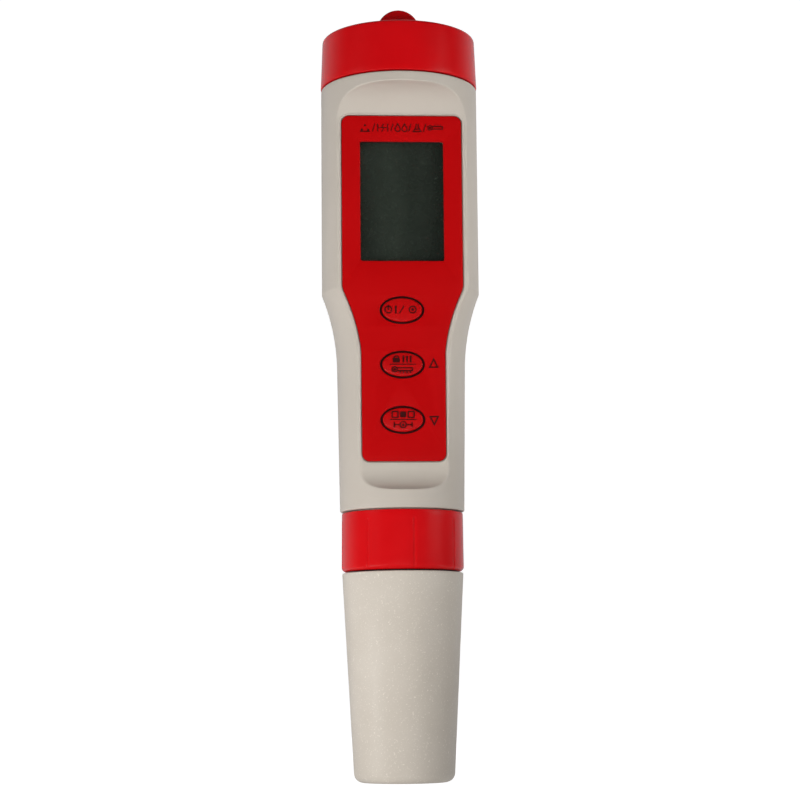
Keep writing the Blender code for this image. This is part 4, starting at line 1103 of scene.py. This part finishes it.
def make_collar():
    """The grip ring: shallow grooves run up from its rounded foot."""
    angles = []
    band = GROOVE_BAND / COLLAR_BOTTOM_R
    for number in range(GROOVE_COUNT):
        centre = math.radians(GROOVE_FIRST_DEG + 360.0 * number / GROOVE_COUNT)
        angles += spaced(centre - band, centre + band, 16)
        angles += spaced(centre + band, centre - band + 2.0 * math.pi / GROOVE_COUNT, 8)
    rings = []
    for radius, height in collar_levels():
        if radius is None:
            share = (height - COLLAR_BOTTOM_Z) / (COLLAR_TOP_Z - COLLAR_BOTTOM_Z)
            radius = COLLAR_BOTTOM_R + (COLLAR_TOP_R - COLLAR_BOTTOM_R) * share
        rings.append([around(radius - groove_depth(angle, height), angle, height) for angle in angles])
    inside = (
        (COLLAR_BORE_R, COLLAR_TOP_Z), (COLLAR_BORE_R, COLLAR_LIP_Z),
        (COLLAR_LIP_R, COLLAR_LIP_Z), (COLLAR_LIP_R, COLLAR_BOTTOM_Z),
    )
    for radius, height in inside:
        rings.append([around(radius, angle, height) for angle in angles])
    collar = stacked("grip_collar", rings, False)
    crest_r = 12.9 * MM
    turns_z = (55.2 * MM, 60.8 * MM)
    ridge = thread_ridge("collar_ridge", COLLAR_BORE_R, crest_r, *turns_z, COLLAR_PITCH, 0.5, COLLAR_RIDGE)
    solidify_booleans(collar, [("UNION", ridge)])
    place_piece(collar, "collar_ring", "red", "collar_ring")


def make_sleeve():
    """The tapered cap over the probe: a round foot, a soft lip and an open inside."""
    inner_bottom_r = SLEEVE_BOTTOM_R - SLEEVE_WALL + 0.1 * MM
    inner_top_r = SLEEVE_TOP_R - SLEEVE_WALL
    lip = 0.3 * MM
    profile = [(0.0, 0.0), (SLEEVE_BOTTOM_R - SLEEVE_EDGE_R - 2.0 * MM, 0.0)]
    profile += arc(SLEEVE_BOTTOM_R - SLEEVE_EDGE_R, SLEEVE_EDGE_R, SLEEVE_EDGE_R, -90.0, 0.0, 14)
    for step in range(1, 12):
        share = step / 12.0
        profile.append((
            SLEEVE_BOTTOM_R + (SLEEVE_TOP_R - SLEEVE_BOTTOM_R) * share,
            SLEEVE_EDGE_R + (SLEEVE_TOP_Z - lip - SLEEVE_EDGE_R) * share,
        ))
    profile += arc(SLEEVE_TOP_R - lip, SLEEVE_TOP_Z - lip, lip, 0.0, 90.0, 5)
    profile += arc(inner_top_r + lip, SLEEVE_TOP_Z - lip, lip, 90.0, 180.0, 5)
    profile += arc(inner_bottom_r - MM, SLEEVE_FLOOR + MM, MM, 0.0, -90.0, 6)
    profile += [(0.0, SLEEVE_FLOOR)]
    sleeve = turned("probe_sleeve", profile)
    place_piece(sleeve, "protective_cap", "sleeve", "protective_cap")


# ---------- CAD nodes that stay

def numbered(name, count):
    return [f"{name}_{number}" for number in range(1, count + 1)]


CAD_MATERIALS = {
    "window": ["window_lens"],
    "display": ["lcd_module"],
    "dark": ["lcd_bezel", "controller_chip", "probe_socket", "probe_housing", "sensor_seat", "probe_guard"]
    + numbered("switch_body", 3),
    "rubber": ["lcd_zebra_strip", "battery_cap_gasket", "cap_seal_ring", "neck_seal_ring"],
    "white": ["board_carrier", "battery_holder", "probe_ribbon", "reference_junction"]
    + numbered("switch_plunger", 3),
    "board": ["circuit_board"],
    "gold": ["cap_contact_plate", "probe_plug"] + numbered("battery_contact", 2),
    "steel": ["temperature_sensor", "reference_wire"] + numbered("battery_lead", 2)
    + numbered("board_screw", 4) + numbered("battery_cell", 4) + numbered("ec_pin", 2),
    "bulb": ["glass_bulb"],
    "foam": ["storage_sponge"],
}


def dress_cad_nodes():
    for material, names in CAD_MATERIALS.items():
        for name in names:
            mesh = NODES[name].data
            mesh.materials.clear()
            mesh.materials.append(MATERIALS[material])


# ---------- stage, light, camera

def make_floor():
    """A pale floor that sweeps up into a backdrop behind the pen."""
    half = 3.0
    back = 1.6
    bend = 0.9
    profile = [(-3.0, 0.0), (0.0, 0.0)]
    for angle in np.linspace(0.0, math.pi / 2.0, 24):
        profile.append((back + bend * math.sin(angle), bend - bend * math.cos(angle)))
    profile.append((back + bend, 3.5))
    shape = bmesh.new()
    sides = []
    for x in (-half, half):
        sides.append([shape.verts.new((x, y, z)) for y, z in profile])
    for index in range(len(profile) - 1):
        shape.faces.new((sides[0][index], sides[1][index], sides[1][index + 1], sides[0][index + 1]))
    mesh = bpy.data.meshes.new("floor_sweep")
    shape.to_mesh(mesh)
    shape.free()
    mesh.shade_smooth()
    floor = bpy.data.objects.new("floor_sweep", mesh)
    bpy.context.scene.collection.objects.link(floor)
    material, tree, shader = new_material("floor_paper")
    fibres = add_noise(tree, 40.0, 3.0)
    paper = blend_colours(tree, fibres, (0.36, 0.36, 0.36), (0.38, 0.38, 0.38))
    tree.links.new(paper, shader.inputs["Base Color"])
    shader.inputs["Roughness"].default_value = 0.9
    shader.inputs["Specular IOR Level"].default_value = 0.0
    shader.inputs["Emission Color"].default_value = (1.0, 1.0, 1.0, 1.0)
    rays = tree.nodes.new("ShaderNodeLightPath")
    glow = tree.nodes.new("ShaderNodeMapRange")
    glow.inputs["To Min"].default_value = FLOOR_LIGHT
    glow.inputs["To Max"].default_value = FLOOR_GLOW
    tree.links.new(rays.outputs["Is Camera Ray"], glow.inputs["Value"])
    tree.links.new(glow.outputs["Result"], shader.inputs["Emission Strength"])
    mesh.materials.append(material)
    floor.visible_glossy = False


def make_world():
    """A dark room in front of the pen and a white one behind it, on a white ground."""
    world = bpy.data.worlds.new("studio")
    bpy.context.scene.world = world
    world.use_nodes = True
    tree = world.node_tree
    background = tree.nodes["Background"]
    place = tree.nodes.new("ShaderNodeTexCoord")
    split = tree.nodes.new("ShaderNodeSeparateXYZ")
    ramp = tree.nodes.new("ShaderNodeValToRGB")
    ramp.color_ramp.elements[0].position = 0.0
    ramp.color_ramp.elements[0].color = (0.05, 0.05, 0.05, 1.0)
    ramp.color_ramp.elements[1].position = 0.55
    ramp.color_ramp.elements[1].color = (0.52, 0.52, 0.54, 1.0)
    tree.links.new(place.outputs["Generated"], split.inputs["Vector"])
    tree.links.new(split.outputs["Y"], ramp.inputs["Fac"])
    tree.links.new(ramp.outputs["Color"], background.inputs["Color"])
    white = tree.nodes.new("ShaderNodeBackground")
    white.inputs["Color"].default_value = (1.0, 1.0, 1.0, 1.0)
    rays = tree.nodes.new("ShaderNodeLightPath")
    mix = tree.nodes.new("ShaderNodeMixShader")
    tree.links.new(rays.outputs["Is Camera Ray"], mix.inputs["Fac"])
    tree.links.new(background.outputs["Background"], mix.inputs[1])
    tree.links.new(white.outputs["Background"], mix.inputs[2])
    tree.links.new(mix.outputs["Shader"], tree.nodes["World Output"].inputs["Surface"])


def add_softbox(name, place, target, size, power, spread_deg=180.0, mirrored=False):
    """An area light; only a mirrored one shows as a highlight on glossy faces."""
    light = bpy.data.lights.new(name, "AREA")
    light.shape = "RECTANGLE"
    light.size, light.size_y = size
    light.energy = power
    light.spread = math.radians(spread_deg)
    item = bpy.data.objects.new(name, light)
    bpy.context.scene.collection.objects.link(item)
    item.location = place
    aim = Vector(target) - Vector(place)
    item.rotation_euler = aim.to_track_quat("-Z", "Y").to_euler()
    item.visible_glossy = mirrored
    item.visible_camera = False


def make_lights():
    """Soft light from low down in front, from both sides and from behind, and three glints."""
    foot = (0.0, 0.0, 0.03)
    collar = (0.0, 0.0, 0.06)
    keys = (0.0, 0.0, 0.10)
    head = (0.0, 0.0, 0.15)
    add_softbox("key_left_low", (-0.22, -0.22, 0.012), foot, (0.14, 0.02), 0.44)
    add_softbox("fill_front", (-0.05, -0.42, 0.02), foot, (0.26, 0.035), 0.43)
    add_softbox("back_soft", (0.10, 0.42, 0.20), keys, (0.25, 0.25), 0.42)
    add_softbox("side_right_high", (0.26, -0.13, 0.17), (0.0, 0.0, 0.13), (0.12, 0.12), 0.043, 48.0)
    add_softbox("side_left_high", (-0.26, -0.13, 0.17), head, (0.12, 0.12), 0.022, 75.0)
    add_softbox("glint_low", (-0.04, -0.30, 0.008), collar, (0.05, 0.008), 0.008, mirrored=True)
    add_softbox("glint_left", (-0.100, -0.052, 0.008), keys, (0.03, 0.012), 0.018, mirrored=True)
    add_softbox("glint_right", (0.108, -0.034, 0.008), keys, (0.03, 0.012), 0.004, mirrored=True)


def make_camera():
    data = bpy.data.cameras.new("camera")
    data.lens = CAMERA_LENS
    data.sensor_width = 36.0
    data.shift_x = CAMERA_SHIFT
    data.clip_start = 0.01
    data.clip_end = 20.0
    camera = bpy.data.objects.new("camera", data)
    bpy.context.scene.collection.objects.link(camera)
    turn = math.radians(CAMERA_AZIMUTH)
    camera.location = (CAMERA_DISTANCE * math.sin(turn), -CAMERA_DISTANCE * math.cos(turn), CAMERA_HEIGHT)
    aim = Matrix.Rotation(turn, 3, "Z") @ Matrix.Rotation(math.radians(90.0 + CAMERA_TILT), 3, "X")
    aim = aim @ Matrix.Rotation(math.radians(CAMERA_ROLL), 3, "Z")
    camera.rotation_euler = aim.to_euler()
    bpy.context.scene.camera = camera


def main():
    bpy.context.scene.view_settings.view_transform = "Standard"
    make_camera()
    make_world()
    make_lights()
    make_floor()
    dress_cad_nodes()
    make_barrel()
    make_neck()
    make_spigot()
    make_panel()
    for number, height in enumerate(KEY_Z, start=1):
        make_key(number, height)
        make_gap_shade_ring(number, height)
    draw_header()
    draw_triangles()
    draw_power_marks()
    draw_hold_marks()
    draw_mode_marks()
    make_battery_cap()
    make_collar()
    make_sleeve()


main()
